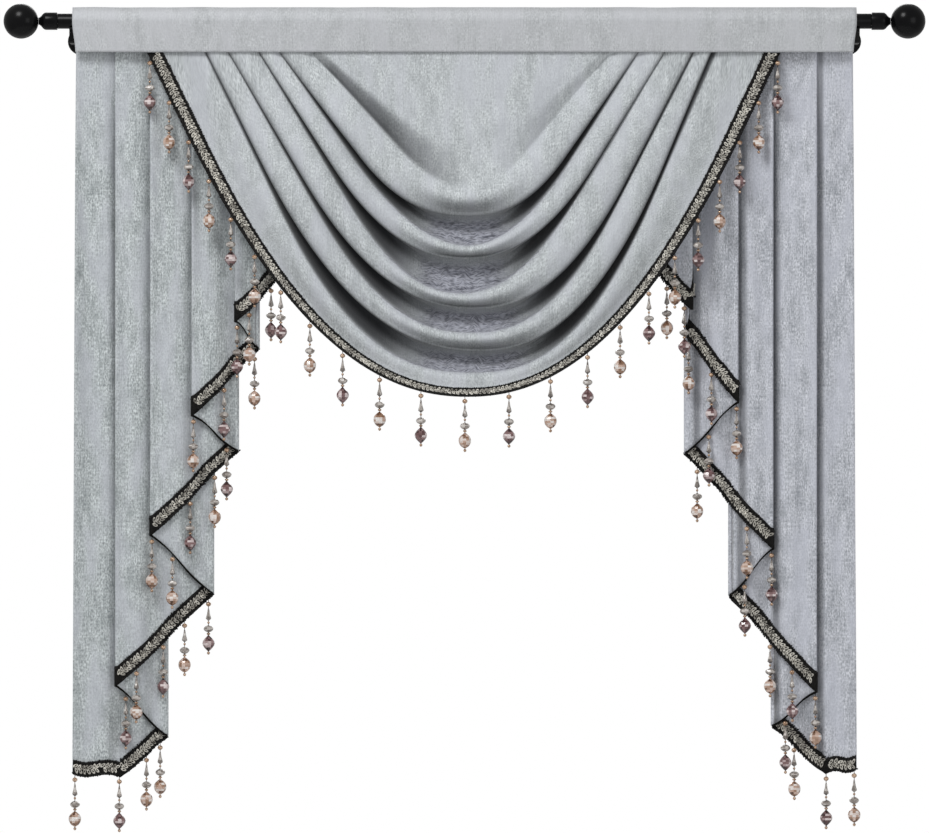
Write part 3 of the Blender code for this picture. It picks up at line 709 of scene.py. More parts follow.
# %% Hung lines of the swag
PIN_RISE = 9.0
HungLine = namedtuple("HungLine", "left right drop low power straight side middle")
UPPER_EDGES = (
    HungLine(-195.6, 186.6, 176, 3, 2.0, 0.40, 15, 35),
    HungLine(-237.5, 223, 248.3, 4.7, 1.88, 0.61, 25, 38),
    HungLine(-264.5, 255, 309.3, -4.6, 2.07, 0.55, 26, 39),
    HungLine(-303, 295.0, 359.2, 10.4, 2.31, 0.62, 27, 40),
    HungLine(-333.2, 323.5, 409.7, 10.3, 2.48, 0.71, 28, 41),
)
LOWER_EDGES = (
    HungLine(-235.5, 221.3, 207.8, 4.1, 2.41, 0.55, 28, 32),
    HungLine(-261.6, 255.0, 262.6, 0.8, 2.21, 0.63, 28, 34),
    HungLine(-300.6, 290.5, 326.3, 14.4, 2.26, 0.68, 29, 35),
    HungLine(-329.0, 314.0, 379.9, 20, 2.31, 0.79, 30, 36),
)
HEM = HungLine(-402.0, 400.0, 438.5, 4, 2.17, 0.87, 33, 62)
UPPER_HEADER, LOWER_HEADER, PANEL_HEADER, HEM_HEADER = 4.0, 5.7, 6.2, 5.6
SIDE_STATION = 0.6
HEADER_STATION = 0.95


def hung_place(station, line):
    """Where a line passes at one station, from -1 at its left end to 1 at its right: x and drop."""
    s = abs(station)
    reach = line.low - line.left if station < 0 else line.right - line.low
    bottom = line.straight**line.power
    slope = line.power * line.straight ** (line.power - 1)
    scale = 1 / (bottom + slope * (1 - line.straight))
    reach *= 1 + PIN_RISE / (scale * slope * line.drop)
    fall = scale * (bottom + slope * (s - line.straight)) if s > line.straight else scale * s**line.power
    return Vector((line.low + math.copysign(reach * s, station), blend(line.drop, -PIN_RISE, fall)))


def forward_of(station, header, side, middle):
    """A distance that is named at the seam, half way up and at the bottom, read at one station."""
    s = abs(station)
    if s < SIDE_STATION:
        return blend(middle, side, smooth_step(s / SIDE_STATION))
    return blend(side, header, smooth_step((s - SIDE_STATION) / (HEADER_STATION - SIDE_STATION)))


# %% Rolls and grooves
# The shade columns give painted shade: on a roll's lower face, most in the middle, and in the grooves, most
# at the sides.
RollLine = namedtuple("RollLine", "share header bulge_side bulge_middle pleat_side pleat_middle")
ROLL_LINES = (
    RollLine(0.36, 6.4, 7, 6, 0.0, 0.05),
    RollLine(0.62, 6.5, 6, 1, 0.0, 0.52),
    RollLine(0.88, 6.2, 3, -4, 0.25, 0.68),
)
LOWER_EDGE_SHADE = (0.85, 0.68)
GrooveLine = namedtuple(
    "GrooveLine", "share_side share_middle tuck header back_side back_middle pleat_side pleat_middle"
)
GROOVE_LINES = (
    GrooveLine(0.05, 0.12, 2.5, 4.8, 9, 9, 1.0, 0.55),
    GrooveLine(0.15, 0.28, 9.0, 4.4, 21, 17, 1.0, 0.28),
    GrooveLine(0.40, 0.46, 10.5, 3.2, 25, 19, 1.0, 0.0),
    GrooveLine(0.70, 0.72, 7.0, 2.5, 18, 10, 1.0, 0.0),
    GrooveLine(0.92, 0.92, 2.5, 3.3, 6, 3, 0.80, 0.0),
)
TUCK_STATION = 0.4
DARK_STATIONS = (0.06, 0.40)
PANEL_HALF = 168.0
# The panel's last lines get a painted shadow above the first roll, scaled along the rod by the panel shadow
# table.
PanelLine = namedtuple("PanelLine", "share side middle pleat")
PANEL_LINES = (
    PanelLine(0.0, 6.2, 6.2, 0.0),
    PanelLine(0.38, 6.5, 8, 0.0),
    PanelLine(0.66, 5.5, 13, 0.0),
    PanelLine(0.76, 5.0, 16, 0.70),
    PanelLine(0.87, 4.8, 21, 0.95),
    PanelLine(0.96, 8.0, 29, 1.0),
)
PANEL_SHADOW_LEFT = ((-1.0, 0.3), (-0.85, 0.8), (-0.5, 0.85), (-0.3, 0.62), (-0.14, 0.36), (0.02, 0.0))
PANEL_SHADOW = (*PANEL_SHADOW_LEFT, (0.15, 0.0), (0.5, 0.38), (1.0, 0.3))
HemLine = namedtuple("HemLine", "share bulge_side bulge_middle")
HEM_LINES = (HemLine(0.35, 4, 2), HemLine(0.72, 0, 0))
# Faint painted shade at the sides of the hem band.
HEM_SIDE_SHADE = 0.07


def painted_shade_of(station, side, middle):
    """Painted shade, blended from the middle to the sides: grooves are pressed flat at the sides and lie
    open in the middle.
    """
    first, last = DARK_STATIONS
    return blend(middle, side, smooth_step((abs(station) - first) / (last - first)))


def roll_rows(station, upper, lower):
    top, foot = hung_place(station, upper), hung_place(station, lower)
    rows = [(*top, forward_of(station, UPPER_HEADER, upper.side, upper.middle), 0.0)]
    for line in ROLL_LINES:
        side = blend(upper.side, lower.side, line.share) + line.bulge_side
        middle = blend(upper.middle, lower.middle, line.share) + line.bulge_middle
        forward = forward_of(station, line.header, side, middle)
        pleat = painted_shade_of(station, line.pleat_side, line.pleat_middle)
        rows.append((*top.lerp(foot, line.share), forward, pleat))
    forward = forward_of(station, LOWER_HEADER, lower.side, lower.middle)
    return rows + [(*foot, forward, painted_shade_of(station, *LOWER_EDGE_SHADE))]


def groove_rows(station, lower, upper):
    top, foot = hung_place(station, lower), hung_place(station, upper)
    inner = smooth_step(abs(station) / TUCK_STATION)
    rows = []
    for line in GROOVE_LINES:
        place = top.lerp(foot, blend(line.share_middle, line.share_side, inner))
        place.x -= math.copysign(line.tuck * inner, station)
        side, middle = lower.side - line.back_side, lower.middle - line.back_middle
        forward = forward_of(station, line.header, side, middle)
        rows.append((*place, forward, painted_shade_of(station, line.pleat_side, line.pleat_middle)))
    return rows


# %% Braid line and the swag's whole column
BRAID_WIDTH = 19.0
BRAID_LIP = 3.0
BRAID_SHOWN_LOW = 8.8
UPRIGHT_STATION = 0.9


def swag_hem(station):
    return (*hung_place(station, HEM), forward_of(station, HEM_HEADER, HEM.side, HEM.middle))


def braid_top(station):
    """The line inside the hem where the braid's upper edge lies. It leans back most at the bottom."""
    step = 0.01
    x, drop, forward = swag_hem(station)
    along = (hung_place(station + step, HEM) - hung_place(station - step, HEM)).normalized()
    covered = BRAID_WIDTH - BRAID_LIP
    shown = blend(BRAID_SHOWN_LOW, covered, min(1.0, abs(station) / UPRIGHT_STATION) ** 2)
    lean = math.sqrt(max(0.0, covered**2 - shown**2))
    inward = Vector((along.y, -along.x)) * shown
    return x + inward.x, max(drop + inward.y, -PIN_RISE), forward - lean


def swag_column(station):
    """The swag's control points at one station, from the seam to the hem: x, drop, forward and painted
    shade.
    """
    top = Vector((station * PANEL_HALF, -PIN_RISE))
    column = []
    for line in PANEL_LINES:
        place = top.lerp(hung_place(station, UPPER_EDGES[0]), line.share)
        shadow = line.pleat * np.interp(station, *zip(*PANEL_SHADOW))
        column.append((*place, forward_of(station, PANEL_HEADER, line.side, line.middle), shadow))
    for number, lower in enumerate(LOWER_EDGES):
        column += roll_rows(station, UPPER_EDGES[number], lower)
        column += groove_rows(station, lower, UPPER_EDGES[number + 1])
    last = UPPER_EDGES[-1]
    edge = (*hung_place(station, last), forward_of(station, UPPER_HEADER, last.side, last.middle))
    column.append((*edge, 0.0))
    top = braid_top(station)
    for line in HEM_LINES:
        x, drop, forward = (blend(edge[i], top[i], line.share) for i in range(3))
        bulge = forward_of(station, 0, line.bulge_side, line.bulge_middle)
        column.append((x, drop, forward + bulge, painted_shade_of(station, HEM_SIDE_SHADE, 0.0)))
    return column + [(*top, 0.0), (*swag_hem(station), 0.0)]


# %% [markdown]
# The control points are the creases that a hand would pin. A Catmull-Rom curve through each column
# rounds the rolls between them. It is spaced by the root of the distances, so it doesn't overshoot where
# points lie close.

# %% Rounding the columns
SWAG_COLUMNS = 181
ROW_SPACING = 4.2
CRINKLE_SPACING = 1.7


def rounded(rows, steps):
    """Rows of a smooth surface through the control rows, with steps[i] rows on stretch i."""
    rows = np.array(rows)
    padded = np.concatenate(([2 * rows[0] - rows[1]], rows, [2 * rows[-1] - rows[-2]]))
    made = []
    for i, count in enumerate(steps):
        a, b, c, d = padded[i : i + 4]
        knots = [np.zeros((rows.shape[1], 1))]
        for p, q in ((a, b), (b, c), (c, d)):
            gap = np.linalg.norm((q - p)[:, :3], axis=1, keepdims=True)
            knots.append(knots[-1] + np.sqrt(np.maximum(gap, 0.01)))
        for k in range(count):
            t = knots[1] + (knots[2] - knots[1]) * k / count
            ab = a + (b - a) * (t - knots[0]) / (knots[1] - knots[0])
            bc = b + (c - b) * (t - knots[1]) / (knots[2] - knots[1])
            cd = c + (d - c) * (t - knots[2]) / (knots[3] - knots[2])
            abc = ab + (bc - ab) * (t - knots[0]) / (knots[2] - knots[0])
            bcd = bc + (cd - bc) * (t - knots[1]) / (knots[3] - knots[1])
            made.append(abc + (bcd - abc) * (t - knots[1]) / (knots[2] - knots[1]))
    return np.array(made + [rows[-1]])


def swag_surface():
    """The rows of the swag, and for each row how much it lies in a groove."""
    stations = np.linspace(-1, 1, SWAG_COLUMNS)
    rows = np.array([swag_column(s) for s in stations]).transpose(1, 0, 2)
    middle = SWAG_COLUMNS // 2
    first, to_groove = len(PANEL_LINES), len(ROLL_LINES) + 1
    period = to_groove + 1 + len(GROOVE_LINES)
    steps, opened = [], []
    for i in range(len(rows) - 1):
        in_groove = first <= i < first + period * len(LOWER_EDGES) and (i - first) % period >= to_groove
        length = np.linalg.norm(rows[i + 1, middle, :3] - rows[i, middle, :3])
        steps.append(max(2, round(length / (CRINKLE_SPACING if in_groove else ROW_SPACING))))
        opened += [float(in_groove)] * steps[-1]
    return rounded(rows, steps), np.array(opened + [0.0])


# %% [markdown]
# Crushed chenille doesn't bend cleanly. Where the grooves open in the middle of the swag, small cross
# creases lie one above another, and the long rolls have faint lines along them. Both are noise,
# stretched along the folds and added to how far the cloth stands forward.

# %% Swag cloth
CREASE_HALF = 150.0
CREASE_DEPTH = 2.2
ROLL_LINE_DEPTH = 0.9
SOFT_ROWS = 3
LARGE_CREASES = (17, 5.2, 1.0)
SMALL_CREASES = (9, 3.1, 2.0)
SMALL_CREASE_SHARE = 0.6
ROLL_CREASES = (90, 9, 4.0)
STATION_WIDTH = 400
SEAM_STIFF = 6
SEAM_HOLD = 40


def creased(surface, opened):
    """Adds the small creases to the swag's rows, and says how crumpled each point is."""
    kernel = np.ones(SOFT_ROWS) / SOFT_ROWS
    opened = np.convolve(opened, kernel, mode="same")
    made = surface.copy()
    crush = np.zeros(surface.shape[:2])
    for r in range(len(surface)):
        for c, (x, drop, forward, pleat) in enumerate(surface[r]):
            crush[r, c] = opened[r] * smooth_step(1.3 - abs(x) / CREASE_HALF) * smooth_step(1.4 - 2 * pleat)
            crease = ripple(x, drop, *LARGE_CREASES) + SMALL_CREASE_SHARE * ripple(x, drop, *SMALL_CREASES)
            station = c / SWAG_COLUMNS
            line = ripple(station * STATION_WIDTH, r, *ROLL_CREASES)
            held = smooth_step((drop - SEAM_STIFF) / SEAM_HOLD)
            made[r, c, 2] += held * (CREASE_DEPTH * crush[r, c] * crease + ROLL_LINE_DEPTH * line)
    return made, crush


def to_points(surface):
    """From x, drop and forward to x, y and z, in millimetres about the rod's middle."""
    return np.stack((surface[..., 0], -surface[..., 2], SEAM_Z - surface[..., 1]), axis=-1)


swag_rows, swag_crush = creased(*swag_surface())
swag_grid = to_points(swag_rows)
swag = sheet_piece(
    "swag_cloth", swag_grid, swag_cloth, CLOTH, upright=True, pleat=swag_rows[..., 3], crush=swag_crush
)

# %% [markdown]
# ## Tails
# A tail is cut on a slant and pleated to and fro, so its hem falls in a zigzag. The table gives the end
# of each run of cloth between two folds, from the outer edge inwards: where the fold is, how deep its
# hem hangs, how many columns the run has and where its strings of beads hang. Layers lie on each other
# like roof tiles, and each fold is half a small circle from one layer to the next. The outer edge is
# drawn in a little at the seam, and beside each fold the layer behind lies in shade, deepened with painted
# shade.

# %% Tables of the tails
Run = namedtuple("Run", "x hem columns beads")
LEFT_TAIL = (
    Run(-500.0, 921.0, 0, ()),
    Run(-440.0, 925.5, 14, ((-497.0, "A"), (-441.0, "P"))),
    Run(-379.0, 876.5, 14, ((-406.4, "A"), (-389.2, "A"))),
    Run(-445.3, 810.0, 14, ((-432.5, "P"),)),
    Run(-320.4, 694.3, 24, ((-418.5, "A"), (-384.9, "P"), (-357.6, "A"), (-327.4, "P"))),
    Run(-400.7, 617.9, 16, ((-372.8, "A"), (-400.7, "A"))),
    Run(-288.6, 510.9, 22, ((-350.1, "P"), (-319.1, "A"))),
    Run(-347.8, 465.0, 12, ((-303.9, "P"), (-347.8, "A"))),
    Run(-261.8, 380.9, 18, ((-306.9, "P"), (-268.2, "A"))),
    Run(-292.4, 345.3, 8, ((-292.4, "P"),)),
    Run(-222.3, 276.5, 16, ((-274.5, "A"), (-247.0, "P"))),
)
RIGHT_TAIL = (
    Run(500.0, 915.3, 0, ()),
    Run(461.0, 921.0, 10, ((497.0, "A"), (461.5, "P"))),
    Run(391.8, 862.5, 16, ((421.0, "A"),)),
    Run(449.1, 817.9, 12, ((409.6, "P"), (449.1, "A"))),
    Run(337.6, 696.9, 24, ((418.0, "P"), (390.2, "A"))),
    Run(393.7, 635.7, 12, ((357.7, "P"), (393.7, "P"))),
    Run(280.9, 514.7, 24, ((360.3, "A"), (297.5, "A"))),
    Run(349.1, 448.4, 14, ((312.0, "P"), (349.1, "A"))),
    Run(281.5, 364.4, 14, ((315.0, "P"), (284.5, "A"))),
    Run(290.5, 331.2, 3, ()),
    Run(223.6, 258.6, 14, ((280.3, "P"), (258.2, "A"))),
)
KINK_RUN = 1
TAIL_SEAT = 0.6
TAIL_PITCH_TOP = 3.4
TAIL_PITCH_LOW = 13.0
TAIL_SHARE_TOP = 0.45
TAIL_SHARE_LOW = 0.33
TAIL_SPREAD_DROP = 165.0
FOLD_STEPS = 7
OUTER_LEAN = 4.5
OUTER_LEAN_WIDTH = 55.0
FOLD_SHADE = {"left": 0.16, "right": 0.58}
FOLD_SHADE_WIDTH = 7.5
FOLD_SHADE_FADE = 4.5
WAVE_DROP = 120.0
WAVE_DEPTH = 3.8
WAVE_LENGTH = 47.0
HEM_WAVE = 2.6
SWING = (90, 600, 6.0)
SWING_TURN = 1.5
BROAD_WAVES = (22, 420, 7.0)
BROAD_WAVE_DEPTH = 2.0
FINE_WAVES = (11, 160, 8.0)
FINE_WAVE_DEPTH = 0.6
TAIL_ROWS = 92


# %% Where the layers of a tail lie
def along_steps(value, steps, results):
    """Piecewise linear reading of a short table, carried on past its last two steps."""
    i = min(max(bisect.bisect_right(steps, value) - 1, 0), len(steps) - 2)
    share = (value - steps[i]) / (steps[i + 1] - steps[i])
    return blend(results[i], results[i + 1], share)


def faces_back(number):
    return number > KINK_RUN + 1 and number % 2 == 1


def layer_of(number):
    """Layers are counted from the outer edge. A run that faces back belongs to the layer in front of it."""
    return max(0, (number - 1) // 2 if faces_back(number) else number // 2 - 1)


def tail_steps(table):
    return [-abs(table[0].x)] + [-abs(run.x) for run in table[3::2]] + [-abs(table[-1].x)]


def tail_front(table):
    """The y place of a tail's front, set so that its rearmost fold lies against the back of the pocket."""
    steps = tail_steps(table)
    deepest = max(
        along_steps(-abs(table[number].x), steps, range(len(steps))) - layer_of(number)
        for number in range(KINK_RUN + 1, len(table), 2)
    )
    return BACK_FOOT_Y - TAIL_SEAT - CLOTH / 2 - TAIL_PITCH_TOP * deepest


def tail_depth(table, x, number, drop):
    """The y place of one run of a tail."""
    spread = smooth_step(drop / TAIL_SPREAD_DROP)
    pitch = blend(TAIL_PITCH_TOP, TAIL_PITCH_LOW, spread)
    steps = tail_steps(table)
    behind = along_steps(-abs(x), steps, range(len(steps))) - layer_of(number)
    if faces_back(number):
        behind += blend(TAIL_SHARE_TOP, TAIL_SHARE_LOW, spread)
    swing = ripple(x, drop, *SWING)
    wave = WAVE_DEPTH * math.sin(2 * math.pi * abs(x) / WAVE_LENGTH + SWING_TURN * swing)
    broad = BROAD_WAVE_DEPTH * ripple(x, drop, *BROAD_WAVES)
    fine = broad + FINE_WAVE_DEPTH * ripple(x, drop, *FINE_WAVES)
    return tail_front(table) + pitch * behind + smooth_step(drop / WAVE_DROP) * (wave + fine)


def fold_shade(label, table, column):
    """How much painted shade the nearest fold in front puts on a column of the cloth behind. A fold itself
    gets none.
    """
    if column.angle is not None:
        return 0.0
    beside = [abs(column.x) + step for step in tail_steps(table)[layer_of(column.run) + 1 : -1]]
    nearest = min([gap for gap in beside if gap >= 0], default=math.inf)
    return FOLD_SHADE[label] * (1 - smooth_step((nearest - FOLD_SHADE_WIDTH) / FOLD_SHADE_FADE))


# %% Points of a tail
TailColumn = namedtuple("TailColumn", "run angle x")


def tail_columns(table):
    """A tail's columns, outer edge first. On a fold, angle runs from 0 on the rear run to pi in front."""
    columns = [TailColumn(1, None, table[0].x)]
    for number in range(1, len(table)):
        start, end = table[number - 1], table[number]
        if number > KINK_RUN + 1:
            turned = [math.pi * k / FOLD_STEPS for k in range(FOLD_STEPS + 1)]
            columns += [TailColumn(number, angle, start.x) for angle in turned]
        for k in range(1, end.columns + 1):
            columns.append(TailColumn(number, None, blend(start.x, end.x, k / (end.columns + 1))))
        if number == KINK_RUN:
            columns.append(TailColumn(number, None, end.x))
    columns.append(TailColumn(len(table) - 1, None, table[-1].x))
    return columns


def tail_fold(table, column, drop):
    """A fold at one height: the middle of its round, its radius and the side it bulges to."""
    rear, front = column.run - 1, column.run
    outward_side = 1 if table[0].x > 0 else -1
    side = -outward_side if faces_back(front) else outward_side
    radius = 0.0
    for _ in range(2):
        centre_x = column.x - side * radius
        y_rear = tail_depth(table, centre_x, rear, drop)
        y_front = tail_depth(table, centre_x, front, drop)
        radius = (y_rear - y_front) / 2
    return centre_x, (y_rear + y_front) / 2, radius, side


def outer_lean(table, x, drop):
    """How far a tail's outer edge is drawn in at one height: most at the seam, and nothing at the hem."""
    edge = abs(table[0].x)
    share = max(0.0, 1 - (edge - abs(x)) / OUTER_LEAN_WIDTH)
    return -math.copysign(OUTER_LEAN * share * (1 - max(drop, 0.0) / table[0].hem), x)


def tail_point(table, column, drop):
    if column.angle is None:
        x = column.x + outer_lean(table, column.x, drop)
        return Vector((x, tail_depth(table, column.x, column.run, drop), SEAM_Z - drop))
    centre_x, centre_y, radius, side = tail_fold(table, column, drop)
    x = centre_x + side * radius * math.sin(column.angle)
    return Vector((x, centre_y + radius * math.cos(column.angle), SEAM_Z - drop))


def run_hem(table, number, x):
    """The drop of the braid's lower edge on one run, and how much a slant makes its upright width longer."""
    start, end = table[number - 1], table[number]
    slope = (end.hem - start.hem) / (end.x - start.x)
    wave = HEM_WAVE * math.sin(2 * math.pi * (x - start.x) / (end.x - start.x))
    return start.hem + slope * (x - start.x) + wave, math.sqrt(1 + slope * slope)


def tail_hem(table, column):
    drop, lean = run_hem(table, column.run, column.x)
    if column.angle is None:
        return drop, lean
    centre_x = tail_fold(table, column, drop)[0]
    rear = run_hem(table, column.run - 1, centre_x)
    front = run_hem(table, column.run, centre_x)
    turned = column.angle / math.pi
    return blend(rear[0], front[0], turned), blend(rear[1], front[1], turned)


# %% Tail cloths
def make_tail(label, table, material):
    """One tail. Also gives the lines that its braid follows."""
    columns = tail_columns(table)
    uppers, lowers, grid = [], [], []
    for column in columns:
        drop, lean = tail_hem(table, column)
        uppers.append(tail_point(table, column, drop - BRAID_WIDTH * lean))
        lowers.append(tail_point(table, column, drop - BRAID_LIP * lean))
        drops = np.linspace(-PIN_RISE, drop - BRAID_LIP * lean, TAIL_ROWS + 1)
        grid.append([tail_point(table, column, float(level)) for level in drops])
    grid = np.array(grid).transpose(1, 0, 2)
    # Painted shade beside each fold, on the layer behind it.
    shades = [fold_shade(label, table, column) for column in columns]
    pleat = np.broadcast_to(shades, grid.shape[:2])
    piece = sheet_piece(f"tail_cloth_{label}", grid, material, CLOTH, pleat=pleat)
    return piece, grid, columns, uppers, lowers


left_tail, left_grid, left_columns, *left_lines = make_tail("left", LEFT_TAIL, left_cloth)
right_tail, right_grid, right_columns, *right_lines = make_tail("right", RIGHT_TAIL, right_cloth)

# %% [markdown]
# ## Braid
# The braid is a black woven tape with a corded edge on both sides and a chain of cream and silver loops
# down its middle. The tape is a thin sheet, and every stitch is a small form of its own: one loop and
# one short length of cord are modelled once, and copies are laid along the tape, turned with it and a
# little uneven, as from a hand.

# %% Thread and tape materials
DARKEST_TAPE = (0.004, 0.004, 0.004)
LIGHTEST_TAPE = (0.022, 0.020, 0.018)
WEAVE_HEIGHT = 0.0004
PLY_HEIGHT = 0.0002


def make_tape_material():
    material, tree, shader = new_material("black tape")
    uv = put(tree, "UVMap", uv_map="cloth").outputs[0]
    weave = put(tree, "TexWave", Vector=uv, Scale=260.0, Distortion=3.0, Detail=2.0).outputs["Fac"]
    specks = stretched_noise(tree, uv, 0.0015, 0.0015)
    colour = ramp(tree, specks, (0.4, DARKEST_TAPE), (0.75, LIGHTEST_TAPE))
    dress(tree, shader, Base_Color=colour, Normal=bumps(tree, weave, WEAVE_HEIGHT, 0.8))
    dress(tree, shader, Roughness=0.8, Specular_IOR_Level=0.15)
    return material


def make_thread_material(name, dull, bright, roughness, metallic):
    """Thread whose stitches differ a little, by the attribute named shade."""
    material, tree, shader = new_material(name)
    shade = put(tree, "Attribute", attribute_name="shade").outputs["Fac"]
    colour = mixed(tree, shade, (*dull, 1), (*bright, 1))
    place = put(tree, "TexCoord").outputs["Object"]
    ply = put(tree, "TexNoise", Vector=place, Scale=2600.0, Detail=2.0).outputs[0]
    dress(tree, shader, Base_Color=colour, Normal=bumps(tree, ply, PLY_HEIGHT, 0.5))
    dress(tree, shader, Roughness=roughness, Metallic=metallic, Specular_IOR_Level=0.25)
    return material


tape_material = make_tape_material()
cream_thread, black_thread = (
    make_thread_material(*values)
    for values in (
        ("cream and silver thread", (0.06, 0.05, 0.04), (1.0, 0.97, 0.88), 0.36, 0.2),
        ("black thread", (0.003, 0.003, 0.003), (0.016, 0.015, 0.014), 0.7, 0.0),
    )
)

# %% One stitch, and copies of it
Stitch = namedtuple("Stitch", "across length width height lean pitch shift")
CHAIN = (
    Stitch(-2.6, 7.8, 3.8, 6.0, 54.0, 5.5, 0.0),
    Stitch(2.6, 7.8, 3.8, 6.0, -54.0, 5.5, 0.5),
)
UNEVEN_DEGREES = 26.0
UNEVEN_PLACE = 0.6
LOOP_RADIUS = 0.37
LOOP_THREAD = 0.20
CORDED_EDGES = (
    Stitch(-8.3, 4.8, 2.4, 2.2, 42.0, 3.0, 0.0),
    Stitch(-6.0, 4.0, 1.5, 1.2, -28.0, 3.1, 0.3),
    Stitch(6.0, 4.0, 1.5, 1.2, 28.0, 3.1, 0.6),
    Stitch(8.3, 4.8, 2.4, 2.2, -42.0, 3.0, 0.2),
)


def taken(form):
    """The points and faces of a finished form, which is then removed."""
    points = np.array([v.co for v in form.data.vertices])
    faces = [list(p.vertices) for p in form.data.polygons]
    bpy.data.objects.remove(form)
    return points, faces


def model_cord():
    """A short length of cord, 1 long, 1 wide and 1 high."""
    bpy.ops.object.select_all(action="DESELECT")
    bpy.ops.mesh.primitive_uv_sphere_add(segments=6, ring_count=4, radius=0.5, rotation=(0, math.pi / 2, 0))
    return taken(settle(named("cord")))


def model_loop():
    """A loop of thread about 1 long and 1 wide, before it is drawn narrow."""
    bpy.ops.object.select_all(action="DESELECT")
    bpy.ops.mesh.primitive_torus_add(
        major_segments=8, minor_segments=4, major_radius=LOOP_RADIUS, minor_radius=LOOP_THREAD
    )
    return taken(settle(named("loop")))


CORD, LOOP = model_cord(), model_loop()


def copies(name, points, faces, frames, material, slot, smoothly=True, glow=None):
    """One piece made of a copy of points and faces for each frame, a 4 x 4 matrix in millimetres.

    The attribute shade differs from copy to copy and from face to face. Where a glow is given, it is lighter
    where the glow is strong.
    """
    frames = np.array(frames)
    placed = np.einsum("nij,vj->nvi", frames[:, :3, :3], points) + frames[:, None, :3, 3]
    every = [[v + n * len(points) for v in face] for n in range(len(frames)) for face in faces]
    mesh = bpy.data.meshes.new(name)
    mesh.from_pydata(placed.reshape(-1, 3) * MM + np.array(RODS_MIDDLE), [], every)
    picks = np.random.default_rng(len(every))
    shades = 0.5 * np.repeat(picks.random(len(frames)), len(faces)) + 0.5 * picks.random(len(every))
    if glow is not None:
        shades = 0.50 * np.tile(glow, len(frames)) + 0.50 * picks.random(len(every))
    mesh.attributes.new("shade", "FLOAT", "FACE").data.foreach_set("value", shades)
    mesh.materials.append(material)
    piece = bpy.data.objects.new(name, mesh)
    bpy.context.scene.collection.objects.link(piece)
    if smoothly:
        only(piece)
        bpy.ops.object.shade_smooth()
    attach(piece, "root")
    print(f"{name}: {len(frames)} copies, {len(every)} faces")
    return piece


# %% [markdown]
# A stitch needs to know where it is on the tape: how far along, which way the tape runs, and which way
# its face looks. These come from the tape's two edges, read at equal distances along its middle.

# %% Places along a tape
TAPE_THICK = 1.0
TAPE_LIFT = CLOTH / 2 + 0.2 + TAPE_THICK / 2
TAPE_ROWS = 5
TURN_READ = 1.5
STRAIGHT_ENOUGH = 0.92
STRAIGHT_REACH = 4.6
MOST_SLANT = 0.88
EDGE_ACROSS = 5.0


class Tape:
    """The middle surface of a tape, between an upper and a lower line of points."""

    def __init__(self, uppers, lowers, facing):
        uppers, lowers = np.array(uppers), np.array(lowers)
        down = lowers - uppers
        down /= np.linalg.norm(down, axis=1, keepdims=True)
        middles = (uppers + lowers + down * BRAID_LIP) / 2
        run = np.gradient(middles, axis=0)
        face = np.cross(run, down) * facing
        face /= np.linalg.norm(face, axis=1, keepdims=True)
        self.uppers = uppers + face * TAPE_LIFT
        self.lowers = lowers + down * BRAID_LIP + face * TAPE_LIFT
        self.facing = facing
        middles = (self.uppers + self.lowers) / 2
        self.places = np.insert(np.cumsum(np.linalg.norm(np.diff(middles, axis=0), axis=1)), 0, 0.0)
        self.length = self.places[-1]

    def read(self, line, place):
        return np.array([np.interp(place, self.places, line[:, i]) for i in range(3)])

    def middle(self, place):
        return Vector(self.read(self.uppers, place) + self.read(self.lowers, place)) / 2

    def straight(self, place):
        """Whether the tape runs on without a fold at a place."""
        if not STRAIGHT_REACH < place < self.length - STRAIGHT_REACH:
            return True
        ahead = (self.middle(place + STRAIGHT_REACH) - self.middle(place)).normalized()
        behind = (self.middle(place) - self.middle(place - STRAIGHT_REACH)).normalized()
        slants = []
        for near in (place - STRAIGHT_REACH, place, place + STRAIGHT_REACH):
            down = Vector(self.read(self.lowers, near) - self.read(self.uppers, near)).normalized()
            slants.append(max(abs(ahead @ down), abs(behind @ down)))
        return ahead @ behind > STRAIGHT_ENOUGH and max(slants) < MOST_SLANT

    def frame(self, place, stitch):
        """The matrix that lays one stitch at a place on the tape. Its third axis stands off the tape."""
        upper, lower = self.read(self.uppers, place), self.read(self.lowers, place)
        run = (self.middle(place + TURN_READ) - self.middle(place - TURN_READ)).normalized()
        down = Vector(lower - upper).normalized()
        face = run.cross(down).normalized() * self.facing
        down = face.cross(run) * self.facing
        turn = Matrix.Rotation(math.radians(stitch.lean), 3, face)
        centre = Vector((upper + lower) / 2) + down * stitch.across + face * (TAPE_THICK / 2)
        sides = (turn @ run * stitch.length, turn @ down * stitch.width, face * stitch.height)
        matrix = Matrix.Identity(4)
        for i, side in enumerate(sides):
            matrix.col[i].xyz = side
        matrix.col[3].xyz = centre
        return matrix

    def stitches(self, stitch):
        """The matrices of one row of stitches: none on a fold, and no edge where the tape faces the wall."""
        count = int(self.length / stitch.pitch)
        places = [(i + 0.5 + stitch.shift) * stitch.pitch for i in range(count)]
        draw = random.Random(stitch.across)
        made = []
        for place in places:
            lean = stitch.lean + draw.uniform(-UNEVEN_DEGREES, UNEVEN_DEGREES)
            across = stitch.across + draw.uniform(-UNEVEN_PLACE, UNEVEN_PLACE)
            matrix = self.frame(place, stitch._replace(lean=lean, across=across))
            hidden_edge = matrix.col[2].y > 0 and abs(stitch.across) > EDGE_ACROSS
            if self.straight(place) and not hidden_edge:
                made.append(matrix)
        return made

    def grid(self):
        shares = np.linspace(0, 1, TAPE_ROWS)[:, None, None]
        return self.uppers[None] * (1 - shares) + self.lowers[None] * shares


# %% Braids of the swag and the tails
BRAID_END_DROP = 0.8
BRAID_SLOT = "braid"


